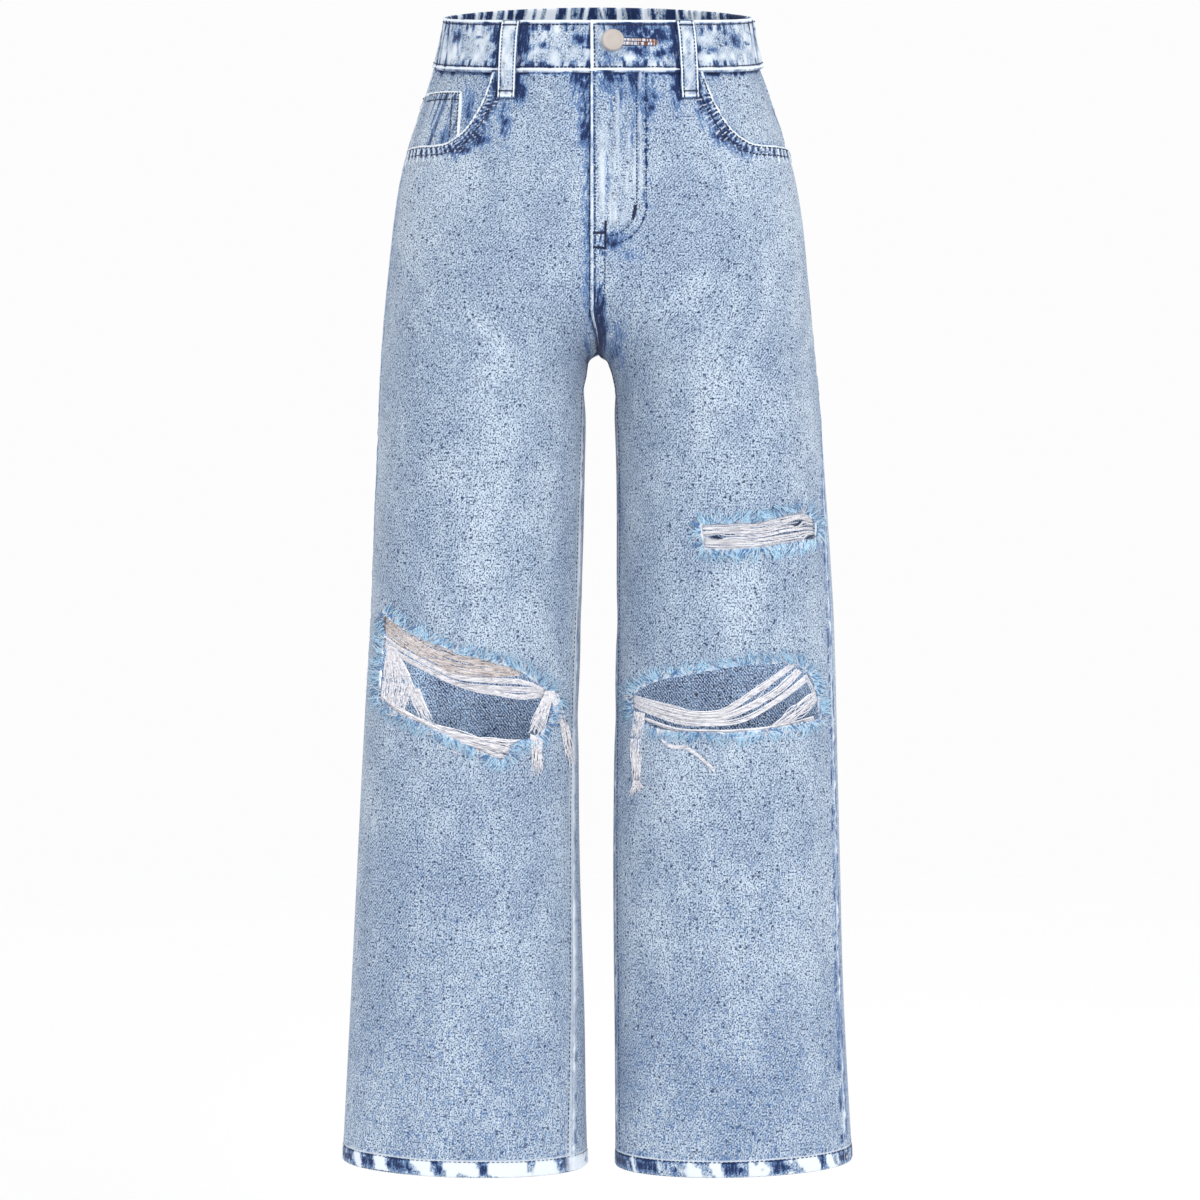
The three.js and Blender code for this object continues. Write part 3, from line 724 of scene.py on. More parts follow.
# Soft folds of each back panel, with X measured outwards from the middle.
BACK_CREASES = [
    ([(6, -228), (40, -244), (92, -250)], 10, -1.8),
    ([(10, -250), (50, -268), (110, -272)], 11, 1.8),
    ([(14, -290), (60, -300), (120, -292)], 13, -1.8),
    ([(30, -470), (80, -480), (130, -470)], 16, -2.0),
    ([(40, -505), (90, -500), (150, -512)], 15, 1.8),
    ([(30, -545), (80, -555), (130, -545)], 17, -1.8),
]


def soft_waves(s):
    """The slight unevenness of cloth that hangs, longer down the leg than across it."""
    fade = ease(s.from_outseam / 30) * ease(s.from_middle / 30) * ease(s.below_band / 30)
    wave = 0.9 * noise(s.across, s.level, (46, 150), s.seed)
    wave += 0.5 * noise(s.across, s.level, (20, 60), s.seed + 1)
    s.ridge(wave * fade)


def side_seams(s):
    """Both long edges turn in to their seams, with puckers where the stitching draws them."""
    wave = noise(s.level, 0 * s.level, 4.2, s.seed + 2) + 0.5 * noise(s.level, s.across, 2.4, s.seed + 3)
    broken = 0.5 + 0.5 * noise(s.level, 0 * s.level, 23, s.seed + 9)
    below_fork = 0.55 * (1 - ease((s.level - CROTCH + 2) / 6)) if s.panel.face == FRONT else 1.0
    sides = ((s.from_outseam, 7, 0.5, 1.0), (s.from_middle, 6, 0.4, below_fork))
    for distance, reach, depth, share in sides:
        near = bump(distance, reach) * share
        lap = np.where(s.panel.face == FRONT, 0.6, 0.3) * bump(distance - 1.6, 1.6) * share
        # The dark line right on each seam is painted shade, with dye kept in the groove.
        s.ridge(
            lap + depth * wave * near - 1.1 * bump(distance, 0.8) * share,
            dye_and_painted_shade=share * np.maximum(
                0.8 * ease((-wave - 0.05) / 0.4) * bump(distance - 4.5, 3.0), 0.7 * bump(distance, 0.9)
            ),
            wear_and_painted_light=share * (
                (0.35 + 0.4 * broken) * bump(distance - 1.7, 1.1) + 0.35 * ease(wave) * bump(distance, 5)
            ),
        )


def below_band(s):
    """Small upright puckers under the waistband, stronger where its elastic is."""
    elastic = bump(s.from_outseam, 45) if s.panel.face == FRONT else 1.0
    wave = noise(s.across, 0 * s.level, 4.6, s.seed + 4)
    reach = 9 + 20 * elastic
    fade = np.exp(-np.clip(s.below_band, 0, None) / reach)
    dark = (0.7 + 0.3 * elastic) * ease((-wave - 0.05) / 0.4) * np.exp(-np.clip(s.below_band, 0, None) / 7)
    # The dark line just under the band is painted shade where the band stands out, with dye kept there.
    s.ridge(
        (0.35 + 0.5 * elastic) * wave * fade,
        dye_and_painted_shade=dark + 0.9 * bump(s.below_band - 1, 1.4),
        wear_and_painted_light=0.4 * ease(wave) * np.exp(-np.clip(s.below_band, 0, None) / 5),
    )


def hem_rope(s):
    """The bottom band, where the slanting pull of its stitching leaves dark and pale ropes."""
    slant = s.across + 0.3 * s.above_hem
    wave = 1.15 * noise(slant, 0 * slant, 6.5, s.seed + 5)
    wave = np.clip(wave + 0.45 * noise(slant, s.above_hem, (3.4, 5), s.seed + 6), -1, 1)
    band = ease((HEM_DEPTH - s.above_hem) / 1.5)
    above = bump(s.above_hem - HEM_DEPTH - 3, 3.5)
    s.ridge(
        band * (0.5 + 0.55 * wave) + 0.3 * wave * above - 0.5 * bump(s.above_hem - HEM_DEPTH + 0.5, 0.9)
        - 0.9 * bump(s.above_hem, 0.7),
        dye_and_painted_shade=0.95 * ease((-wave - 0.18) / 0.3) * band * bump(s.above_hem - 6, 6)
        + 0.5 * ease((-wave - 0.3) / 0.4) * above + 0.75 * bump(s.above_hem - HEM_DEPTH + 1.2, 0.6),
        wear_and_painted_light=0.8 * ease((wave + 0.25) / 0.4) * band + 0.75 * bump(s.above_hem - HEM_DEPTH - 0.4, 0.9),
    )


def creases(s, folds, mirrored=False):
    """Soft folds laid along their lines. The narrow ones have painted shade in their troughs and painted
    highlights on their ridges.
    """
    x = s.x * s.panel.side if mirrored else s.x
    for line, half_width, height in folds:
        points = smooth_line(line, 6)
        near = bump(outline_distance(x, s.z, points, closed=False), half_width)
        fine = 0.5 * ease(0.6 + noise(s.x, s.z, (3, 16), 93)) if half_width < 3 else 0.0
        s.ridge(height * near, dye_and_painted_shade=fine * near * (height < 0), wear_and_painted_light=1.0 * fine * near * (height > 0))


LOOP_X = 64.5
LOOP_SLANT = 4.2
LOOP_BOTTOM = -59


def from_loop(x, level):
    """How far a spot of the front is from the middle line of its belt loop."""
    return np.abs(np.abs(x) - LOOP_X - LOOP_SLANT * ease(level / LOOP_BOTTOM))


def loop_shadow(s):
    """Painted shadow on the cloth close beside the front belt loops."""
    ragged = 1 + 0.4 * noise(s.x, s.z, (3, 5), 94)
    s.ridge(0, dye_and_painted_shade=1.4 * ragged * bump(from_loop(s.x, s.level) - 7.5, 1.5) * ease((s.z + 84) / 6))


def dark_patches(s):
    """The dark patches, with ragged edges."""
    ragged = 1 + 0.5 * noise(s.x, s.z, 5, 77) + 0.25 * noise(s.x, s.z, 2.4, 78)
    for x, z, wide, high, strength in DARK_PATCHES:
        near = np.exp(-(((s.x - x) / wide) ** 2) - ((s.z - z) / high) ** 2)
        s.ridge(0, dye_and_painted_shade=np.clip(strength * near * ragged, 0, 1))


SCOOP = [(79, -54), (80.2, -59), (87, -77), (98, -96), (109, -105.5), (121, -109), (148, -105.5)]
SCOOP_LINE = smooth_line(SCOOP, 1.0)
SCOOP_STITCH = 8.0


def scoop_distance(s):
    """How far a spot is below the rim of the side pocket, and negative within the pocket."""
    x = s.x * s.panel.side
    outline = [*SCOOP_LINE.tolist(), (220, -105), (220, 20), (79, 20)]
    return outline_distance(x, s.z, outline)


def pocket_rim(s):
    """The rolled rim of the side pocket, and the puckers between its two rows of stitching."""
    distance = scoop_distance(s)
    x = s.x * s.panel.side
    angle = np.arctan2(s.z + 60, x - 130) * 55
    wave = np.sin(2 * np.pi * angle / 3.7 + 2.4 * noise(angle, 0 * angle, 6, s.seed + 7))
    lower = ease((-62 - s.z) / 16)
    within = ease((SCOOP_STITCH + 5.5 - distance + 3 * wave) / 4) * ease((distance - 1.8) / 1)
    s.ridge(
        0.5 * ease((SCOOP_STITCH + 1 - distance) / 1) + 0.8 * bump(distance - 1.0, 1.3)
        + 0.5 * wave * within * lower - 0.7 * bump(distance, 0.6),
        dye_and_painted_shade=np.maximum(
            1.05 * ease(-wave / 0.5) * within * lower,
            0.75 * bump(distance - SCOOP_STITCH - 1, 6) * ease((-60 - s.z) / 20) * ease((126 - x) / 20),
        ),
        wear_and_painted_light=1.0 * bump(distance - 0.9, 1.1) + 0.7 * ease(wave) * within * lower,
    )


FLY_WIDTH = 39
FLY_BOTTOM = -193
FLY_CURVE = 30


def fly_outline(inset, steps=8):
    """The curved edge of the fly's stitching, from the waistband down to the middle seam."""
    radius = FLY_CURVE - inset
    right, bottom = FLY_WIDTH - 3 - inset, FLY_BOTTOM + 3 + inset
    turn = np.linspace(0, np.pi / 2, steps)
    curve = [(right - radius * (1 - math.cos(t)), bottom + radius * (1 - math.sin(t))) for t in turn]
    return [(right, -40), (right, -100), *curve, (-LAP, bottom)]


def fly_front(s):
    """The wearer's left front at the fly: a raised facing, and the rolled edge that laps over."""
    outline = [*fly_outline(-2), (-LAP - 20, FLY_BOTTOM), (-LAP - 20, -20), (FLY_WIDTH, -20)]
    distance = outline_distance(s.x, s.z, outline)
    above_crotch = ease((s.z + 268) / 6)
    rows = [outline_distance(s.x, s.z, fly_outline(inset, 24), closed=False) for inset in (0, 7)]
    grooves = np.maximum(*(bump(r, 0.9) for r in rows))
    ragged = noise(s.x, s.z, (2, 3.2), 91)
    on_fly = ease(-distance / 3) * ease((-70 - s.z) / 40) * ease((s.z + 184) / 14)
    whitening = on_fly * (0.27 + 0.36 * noise(s.x, s.z, (2.2, 34), 92))
    beside = bump(rows[0], 5) + bump(s.from_middle - 9, 3.5) * ease((-120 - s.z) / 30)
    lap = 1.0 * bump(s.from_middle - 1.4, 1.8) + 0.5 * ease((11 - s.from_middle) / 2)
    below_fly = ease((-196 - s.z) / 50) * ease((s.from_middle - 2.2) / 1) * ease((12 - s.from_middle) / 2)
    by_the_edge = 0.7 * beside * ease((ragged - 0.1) / 0.5) + 0.95 * below_fly
    by_the_edge += 0.7 * bump(s.from_middle - 2.6, 0.8)
    # The stitch grooves, the thin dark line inside the rolled edge and the strip below the fly are painted
    # shade with dye kept there.
    s.ridge(
        0.5 * ease(-distance / 2) + above_crotch * lap - 0.4 * grooves,
        dye_and_painted_shade=0.7 * grooves * ease(ragged + 0.5) + above_crotch * by_the_edge,
        wear_and_painted_light=np.maximum(above_crotch * (0.95 + 0.3 * ragged) * bump(s.from_middle - 0.9, 0.8), whitening),
    )


def fly_under(s):
    """The wearer's right front goes in under the fly's rolled edge: painted shadow in a thin line under the
    edge, and dye kept in a wider band beside it.
    """
    above_crotch = ease((s.z + 268) / 6)
    s.ridge(
        -0.9 * above_crotch * bump(s.from_middle, 4),
        dye_and_painted_shade=above_crotch * np.maximum(1.0 * bump(s.from_middle, 1.5), 0.6 * bump(s.from_middle, 7)),
    )


# ---- rips --------------------------------------------------------------------------------
THIGH_HOLE = [
    (77, -397), (99, -396.5), (122, -395), (141, -390), (157, -387),
    (165, -394), (166, -407), (137, -412.5), (106, -416), (80, -415.5),
]
LEFT_KNEE_HOLE = [
    (25, -528.5), (32, -521), (47, -514.5), (66, -510.5), (88, -506), (110, -503), (137, -501),
    (153, -503.5), (162, -512), (168, -530), (168, -545), (134, -550.5), (103, -554),
    (77, -554), (47, -552.5), (28, -542),
]
RIGHT_KNEE_HOLE = [
    (-163, -464), (-146, -476.5), (-126, -485.5), (-104, -494), (-81, -500.5), (-59, -507.5),
    (-40, -521), (-34, -526), (-36, -546), (-46, -557), (-62, -562), (-72, -574), (-81, -571),
    (-104, -561), (-126, -550.5), (-150, -541), (-167, -529), (-165, -500),
]
HOLES = {LEFT: [THIGH_HOLE, LEFT_KNEE_HOLE], RIGHT: [RIGHT_KNEE_HOLE]}


def hole_distance(s):
    """Distance outside the nearest rip, with a ragged edge."""
    x, z = s.x, s.z
    nearest = np.min([outline_distance(x, z, hole) for hole in HOLES[s.panel.side]], axis=0)
    return nearest + 0.9 * noise(x, z, 3.1, 51) + 0.5 * noise(x, z, 1.3, 52)


def frayed_edge(s):
    """The cloth round a rip lifts a little and has rubbed to white and sky blue, with painted shadow in dark
    specks close to the torn edge.
    """
    distance = hole_distance(s)
    streak = noise(s.x, s.z, (1.1, 7), 53)
    near = bump(np.clip(distance, 0, None), 4.5)
    s.ridge(
        0.7 * near * (1 + 0.6 * streak),
        wear_and_painted_light=0.75 * near * ease(streak + 0.6),
        dye_and_painted_shade=0.5 * bump(distance - 1.5, 3) * ease((-streak + 0.1) / 0.5),
    )


def painted_edge_shade_and_light(s):
    """Painted shade along the outer edges and the left leg's inner edge, where the legs round away, and
    painted light on the right leg's inner edge, where the other leg shades it; the legs also darken a little
    towards the hems.
    """
    legs = ease((CROTCH + 20 - s.level) / 60)
    drift = 0.75 + 0.25 * noise(s.level, 0 * s.level, 60, s.seed + 12)
    inner = legs * drift * bump(s.from_middle, 20)
    streaks = ease(0.5 + noise(s.across, s.level, (2.6, 26), s.seed + 13))
    s.ridge(0, dye_and_painted_shade=0.6 * drift * bump(s.from_outseam, 13) * (0.6 + 0.4 * streaks))
    s.ridge(0, dye_and_painted_shade=0.14 * ease((-540 - s.level) / 150) + 0.1 * ease((-720 - s.level) / 120))
    if s.panel.side == LEFT:
        s.ridge(0, dye_and_painted_shade=0.5 * inner * (0.5 + 0.5 * streaks))
    else:
        s.ridge(0, wear_and_painted_light=0.75 * inner * bump(s.from_middle, 14))


# ---- cloth panels ------------------------------------------------------------------------
def leg_levels(top, face=FRONT):
    """Rows down a panel: close together at the top, the pocket, the rips and the hem."""
    if face == BACK:
        return spaced(top, (top - 20, 1.7), (-245, 3.4), (-280, 2.0), (HEM + 24, 4.6), (HEM, 1.1))
    return spaced(
        top, (top - 20, 1.5), (-126, 1.5), (-245, 2.8), (-280, 1.8), (-375, 3.4), (-450, 2.6), (-590, 1.9),
        (HEM + 24, 4.0), (HEM, 1.0),
    )


def dressed_front(panel, share, level):
    """Spots on a front, with all that its cloth does."""
    s = Surface(panel, share, level)
    soft_waves(s)
    side_seams(s)
    below_band(s)
    hem_rope(s)
    creases(s, FRONT_CREASES)
    dark_patches(s)
    loop_shadow(s)
    pocket_rim(s)
    (fly_front if panel.side == LEFT else fly_under)(s)
    frayed_edge(s)
    painted_edge_shade_and_light(s)
    return s


def shares_across(panel, fly=False):
    """Columns across a panel: close together at both seams, and over the fly."""
    width = panel.width_at(-300)
    if fly:
        return spaced(0, (84, 1.9), (width - 62, 3.0), (width, 1.55)) / width
    start, step = ((84, 1.6), 3.0) if panel.face == FRONT else ((14, 1.3), 4.0)
    return spaced(0, start, (width - 13, step), (width, 1.3)) / width


RIPS_BELOW = -380
NO_RIP_NEAR = 50


def make_front(side):
    """A front, with the scoop of its pocket and its rips cut out."""
    panel = PANELS[side, FRONT]
    share, level = np.meshgrid(shares_across(panel, fly=side == LEFT), leg_levels(PANEL_TOP))
    s = dressed_front(panel, share, level)
    field = np.minimum(scoop_distance(s), np.where(s.z < RIPS_BELOW, hole_distance(s), NO_RIP_NEAR))
    name = SIDE_NAMES[side]
    cloth_piece(f"cloth_front_{name}", s, [DENIM, INSIDE], [f"front_{name}"], field=field)


for side in (LEFT, RIGHT):
    make_front(side)


def dressed_back(panel, share, level):
    """Spots on a back, with all that its cloth does."""
    s = Surface(panel, share, level)
    soft_waves(s)
    side_seams(s)
    hem_rope(s)
    painted_edge_shade_and_light(s)
    creases(s, BACK_CREASES, mirrored=True)
    return s


def yoke_level(share):
    """The level of the yoke's lower seam."""
    return -BAND_HEIGHT - (YOKE_SIDE + (YOKE_MIDDLE - YOKE_SIDE) * share)


def make_back(side):
    """A back, and the yoke above it."""
    panel = PANELS[side, BACK]
    name = SIDE_NAMES[side]
    shares = shares_across(panel)
    rows = leg_levels(-110, BACK)
    lead = np.linspace(0, 1, 26)[:-1, None]
    top = yoke_level(shares)[None, :]
    below = np.broadcast_to(rows[:, None], (len(rows), len(shares)))
    level = np.vstack([top + (rows[0] - top) * lead, below])
    share = np.broadcast_to(shares, level.shape)
    s = dressed_back(panel, share, level)
    from_yoke = yoke_level(s.share) - s.level
    wave = noise(s.across, 0 * s.level, 4.5, s.seed + 8)
    s.ridge(
        0.3 * wave * bump(from_yoke, 8) - 0.9 * bump(from_yoke, 0.8),
        dye_and_painted_shade=0.8 * ease(-wave / 0.5) * bump(from_yoke - 2, 4),
        wear_and_painted_light=0.4 * ease(wave) * bump(from_yoke, 5),
    )
    cloth_piece(f"cloth_back_{name}", s, [DENIM, INSIDE], [f"back_{name}"])

    lead = np.linspace(0, 1, 30)[:, None]
    level = PANEL_TOP + (yoke_level(shares)[None, :] - 0.2 - PANEL_TOP) * lead
    s = Surface(panel, np.broadcast_to(shares, level.shape), level)
    side_seams(s)
    below_band(s)
    to_yoke = s.level - yoke_level(s.share)
    wave = noise(s.across, 0 * s.level, 4.5, s.seed + 8)
    s.ridge(
        0.8 * bump(to_yoke - 1.5, 2) + 0.4 * ease((11 - to_yoke) / 2) - 0.9 * bump(to_yoke, 0.6),
        dye_and_painted_shade=0.7 * ease(-wave / 0.5) * bump(to_yoke - 5, 3),
        wear_and_painted_light=1.0 * bump(to_yoke - 1.3, 1.4) + 0.3 * ease(wave) * bump(to_yoke - 5, 3),
    )
    cloth_piece(f"cloth_yoke_{name}", s, [DENIM, INSIDE], [f"yoke_{name}"])


for side in (LEFT, RIGHT):
    make_back(side)


# ---- hems ----------------------------------------------------------------------------------
# The hem's outline: height above its fold, and how far it stands out.
HEM_PROFILE = [
    (0.6, -0.25), (-0.1, -0.35), (-0.55, -1.1), (-0.6, -2.0), (-0.1, -3.0), (1.5, -3.4), (4, -3.5),
    (HEM_DEPTH - 1, -3.5), (HEM_DEPTH, -3.0), (HEM_DEPTH - 0.5, -2.2), (4, -1.9), (1.2, -1.7),
]


def make_hem(side):
    """The turned-up band inside the leg: it comes round under the panel's edge and runs up."""
    name = SIDE_NAMES[side]
    count = 200
    rings, cloth = [], []
    for face in (FRONT, BACK):
        shares = np.linspace(0, 1, count)
        shares = shares if face == FRONT else shares[::-1]
        rows = []
        for up, out in HEM_PROFILE:
            s = Surface(PANELS[side, face], shares, np.full(count, float(HEM)))
            s_up = Surface(PANELS[side, face], shares, np.full(count, HEM + max(up, 0.0)))
            rope = 0.25 * np.sin(2 * np.pi * s.across / 12.5)
            point = s_up.point + s_up.normal * (out + rope * (up > 3))[:, None]
            point[:, 2] += min(up, 0.0)
            rows.append(point)
            height = np.full(count, HEM + up + out)
            cloth.append(np.stack([s.across, height, np.full(count, HEM_CLOTH)], -1) * MM)
        rings.append(np.stack(rows, 1))
    points = np.concatenate([rings[0][:-1], rings[1][:-1]])
    coordinate = np.array(cloth).reshape(2, len(HEM_PROFILE), count, 3).transpose(0, 2, 1, 3)
    coordinate = np.concatenate([coordinate[0][:-1], coordinate[1][:-1]])
    across, high = points.shape[:2]
    number = np.arange(across * high).reshape(across, high)
    faces = ring_faces(number, np.roll(number, -1, 0), side == LEFT)
    zeros = np.zeros(across * high)
    add_mesh(
        f"cloth_hem_{name}", points.reshape(-1, 3), faces, [INSIDE], [f"hem_{name}"],
        {"cloth": coordinate.reshape(-1, 3), "dye_and_painted_shade": zeros, "wear_and_painted_light": zeros + 0.15},
    )


for side in (LEFT, RIGHT):
    make_hem(side)


# ---- side pockets ----------------------------------------------------------------------------
def offset_line(points, distance):
    """A line in X and Z moved sideways: to its left, seen with Z up, where distance is positive."""
    way = np.gradient(points, axis=0)
    way /= np.linalg.norm(way, axis=1, keepdims=True)
    return points + distance * np.stack([-way[:, 1], way[:, 0]], -1)


def on_panel(panel, dress, line, out=0.0):
    """A line in X and Z laid on a panel's cloth: its points and the normals there."""
    share, level = panel.find(line[:, 0], line[:, 1])
    s = dress(panel, share, level)
    return s.placed(out), s.normal


FACING_DEPTH = -2.3


def make_facing(side):
    """The cloth that shows inside the scoop of a side pocket."""
    panel = PANELS[side, FRONT]
    shares, levels = spaced(0, (0.06, 0.008), (0.66, 0.014)), spaced(PANEL_TOP, (-60, 1.6), (-122, 2.4))
    share, level = np.meshgrid(shares, levels)
    s = Surface(panel, share, level)
    side_seams(s)
    below_band(s)
    wave = noise(s.from_outseam, s.level, (7, 60), s.seed + 20)
    s.ridge(0.5 * wave + 2.0 * bump(s.from_outseam, 9), wear_and_painted_light=0.25 * ease(wave) * bump(s.from_outseam, 30))
    # Painted shade on the facing just under the scoop's rim.
    in_shade = 0.55 * bump(scoop_distance(s), 4)
    spot = (92, -102) if side == LEFT else (-112, -84)
    s.ridge(0, dye_and_painted_shade=np.maximum(in_shade, 0.8 * bump(np.hypot(s.x - spot[0], 1.6 * (s.z - spot[1])), 6)))
    if side == RIGHT:
        s.ridge(0, dye_and_painted_shade=0.9 * bump(s.x + 99, 5) * bump(s.z + 80, 15) * (1 + 0.4 * noise(s.x, s.z, 3, 95)))
    name = SIDE_NAMES[side]
    cloth_piece(
        f"cloth_pocket_facing_{name}", s, [DENIM, INSIDE], [f"pocket_facing_{name}"],
        out=FACING_DEPTH, thick=1.2, field=s.x * side - 68,
    )


COIN_TOP = [(-180, -51), (-129, -62.5), (-104, -67.5)]
COIN_SIDE_BOTTOM = (-106, -118)
COIN_DEPTH = -1.1


def make_coin_pocket():
    """The small patch pocket on the wearer's right facing."""
    panel = PANELS[RIGHT, FRONT]
    share, level = np.meshgrid(spaced(0, (0.45, 0.0075)), spaced(-52, (-116, 1.25)))
    s = Surface(panel, share, level)
    outline = [*COIN_TOP, COIN_SIDE_BOTTOM, (-180, -120)]
    distance = -outline_distance(s.x, s.z, outline)
    from_top = outline_distance(s.x, s.z, COIN_TOP, closed=False)
    from_side = outline_distance(s.x, s.z, [COIN_TOP[-1], COIN_SIDE_BOTTOM], closed=False)
    wave = noise(s.from_outseam, s.level, (3.6, 60), 31)
    ticks = noise(s.from_outseam, 0 * s.level, 1.7, 33)
    hem = ease((8.5 - from_top) / 1)
    dark_ticks = ease((ticks - 0.1) / 0.5) * hem * bump(from_top - 4.6, 2.6)
    stain = 0.75 * bump(np.hypot(s.x + 117, s.z + 104), 8)
    rims = np.maximum(1.1 * bump(from_top - 0.7, 1.1), 1.0 * bump(from_side - 0.8, 1.1))
    s.ridge(
        0.35 * hem + 0.3 * wave + 0.4 * bump(from_side - 1, 1.5) + 0.5 * bump(from_top - 1, 1.2)
        - 0.7 * bump(distance, 0.6) + 1.2 * bump(s.from_outseam, 8),
        dye_and_painted_shade=np.maximum(np.maximum(dark_ticks, 0.75 * ease((-wave - 0.15) / 0.5)), stain),
        wear_and_painted_light=rims + 0.25 + 0.25 * ease(wave),
    )
    cloth_piece(
        "cloth_coin_pocket", s, [DENIM, INSIDE], ["coin_pocket"], out=COIN_DEPTH, thick=1.0, field=distance,
    )
    top = smooth_line([(-150, -58), *COIN_TOP[1:]], 1.5)
    rows = [offset_line(top, -d) for d in (1.9, 7.0)]
    side_line = smooth_line([COIN_TOP[-1], COIN_SIDE_BOTTOM], 1.5)
    rows += [offset_line(side_line, -d) for d in (2.0, 7.0)]
    rows = [r[(r[:, 0] > -141) & (r[:, 1] > -104)] for r in rows]
    return [on_panel(panel, Surface, row, COIN_DEPTH + 0.6) for row in rows]


for side in (LEFT, RIGHT):
    make_facing(side)
coin_rows = make_coin_pocket()


def rim_rows(side):
    """The two rows of stitches along the rim of a side pocket."""
    rows = []
    for distance in (2.1, SCOOP_STITCH):
        line = offset_line(SCOOP_LINE, -distance)
        line = line[(line[:, 1] < -61) & (line[:, 0] < 146)]
        rows.append(on_panel(PANELS[side, FRONT], dressed_front, line * [side, 1]))
    return rows


def fly_rows():
    """The curved rows of the fly, and the rows beside its edge."""
    panel = PANELS[LEFT, FRONT]
    rows = []
    for inset in (0, 7):
        line = along(np.array(fly_outline(inset, 16), float), np.linspace(0, 1, 130))
        rows.append(on_panel(panel, dressed_front, line[(line[:, 1] < -60) & (line[:, 0] > 4)]))
    for distance, top, bottom in ((3.4, -40, -259), (11.0, -172, -259)):
        level = np.arange(top, bottom, -1.5)
        s = dressed_front(panel, 1 - distance / panel.width_at(level), level)
        rows.append((s.placed(), s.normal))
    return rows


def bar_tack(points, normals, width):
    """A short dense zigzag of stitches along a line."""
    total = np.linalg.norm(np.diff(points, axis=0), axis=1).sum()
    count = max(4, int(total / 0.55))
    spots = np.linspace(0, 1, count)
    line, up = along(points, spots), along(normals, spots)
    way = np.gradient(line, axis=0)
    across = np.cross(way, up)
    across /= np.linalg.norm(across, axis=1, keepdims=True)
    paths = []
    for k in range(count):
        reach = np.array([-0.5, -0.3, 0, 0.3, 0.5])[:, None] * width
        bow = np.array([-0.3, 0.15, 0.3, 0.15, -0.3])[:, None]
        paths.append((line[k] + across[k] * reach + up[k] * bow, 0.3, np.broadcast_to(up[k], (5, 3))))
    return paths


def seam_rows():
    """One row of stitches beside each inseam on the front, and along each hem."""
    rows = []
    for side in (LEFT, RIGHT):
        panel = PANELS[side, FRONT]
        level = np.arange(-268, HEM + 13, -1.5)
        s = dressed_front(panel, 1 - 5.2 / panel.width_at(level), level)
        rows.append((s.placed(), s.normal))
        for face in (FRONT, BACK):
            panel = PANELS[side, face]
            share = np.linspace(0.01, 0.99, 150)
            dressed = dressed_front if face == FRONT else dressed_back
            s = dressed(panel, share, np.full(150, HEM + HEM_DEPTH - 0.6))
            rows.append((s.placed(0.1), s.normal))
    return rows


def add_stitches(name, rows, material, **sizes):
    points, faces = stitches(rows, **sizes)
    add_mesh(name, points, faces, [material])


def add_tubes(name, paths, material, nodes=(), sides=4):
    points, faces = tube_parts(paths, sides)
    add_mesh(name, points, faces, [material], nodes, sharp=80)


add_stitches("stitches_pockets", [*coin_rows, *rim_rows(LEFT), *rim_rows(RIGHT)], STITCH, radius=0.56)
add_stitches("stitches_fly", fly_rows(), STITCH, pitch=2.7, length=2.0, radius=0.58)
add_stitches("stitches_seams_and_hems", seam_rows(), STITCH, pitch=3.6, radius=0.42)

# Both ends of each tack on the fly, in X and Z.
FLY_TACKS = [
    ((-3.4, -181), (5.6, -180.5)), ((-3.4, -191.5), (5.6, -192)), ((5.6, -172), (5.4, -193)),
    ((28, -160), (26, -170)),
]
FLY_TACK_WIDTH = 2.2
fly_tacks = []
for start, end in FLY_TACKS:
    tack_line = np.linspace(start, end, 8)
    fly_tacks += bar_tack(*on_panel(PANELS[LEFT, FRONT], dressed_front, tack_line), FLY_TACK_WIDTH)
add_tubes("fly_tacks", fly_tacks, STITCH)


# ---- waistband -------------------------------------------------------------------------------
# Where dark dye has stayed on the band: X, Z, half width, half height, strength.
BAND_PATCHES = [
    (-55, -34, 4.5, 16, 1.3),
    (-74, -28, 5, 12, 1.2),
    (-77, -44, 6, 4, 1.0),
    (-40, -38, 5, 3.5, 0.8),
    (-11, -34, 8, 6, 0.9),
    (24, -26, 12, 6, 1.25),
    (40, -30, 14, 8, 1.3),
    (30, -42, 9, 5, 1.0),
    (48, -44, 7, 5, 0.9),
    (56, -32, 4, 16, 1.1),
    (9, -50, 6, 6, 0.7),
    (33, -48, 5, 7, 0.7),
    (74, -38, 5, 4, 0.7),
    (86, -38, 6, 3, 0.6),
    (105, -26, 5, 7, 1.0),
    (-109, -22, 4, 6, 0.9),
]
# The band's outline: level, and how far it stands out, from its bottom outer edge round the top.
BAND_OUTLINE = [
    (-38.5, 0.2), (-38.5, 1.0), (-38.0, 1.6), (-37.1, 1.75), (-36.2, 1.4), (-35.6, 0.95), (-35.0, 0.8),
    (-34.3, 1.0), *[(float(v), 1.1) for v in np.linspace(-33, -5, 19)], (-3.8, 1.0), (-3.2, 0.8),
    (-2.6, 0.95), (-1.9, 1.4), (-1.0, 1.6), (-0.2, 1.4), (0.35, 0.7), (0.5, -0.4), (0.2, -1.3), (-0.7, -1.75),
    *[(float(v), -1.8) for v in np.linspace(-2.5, -36.5, 13)], (-38.0, -1.5), (-38.5, -0.8),
]


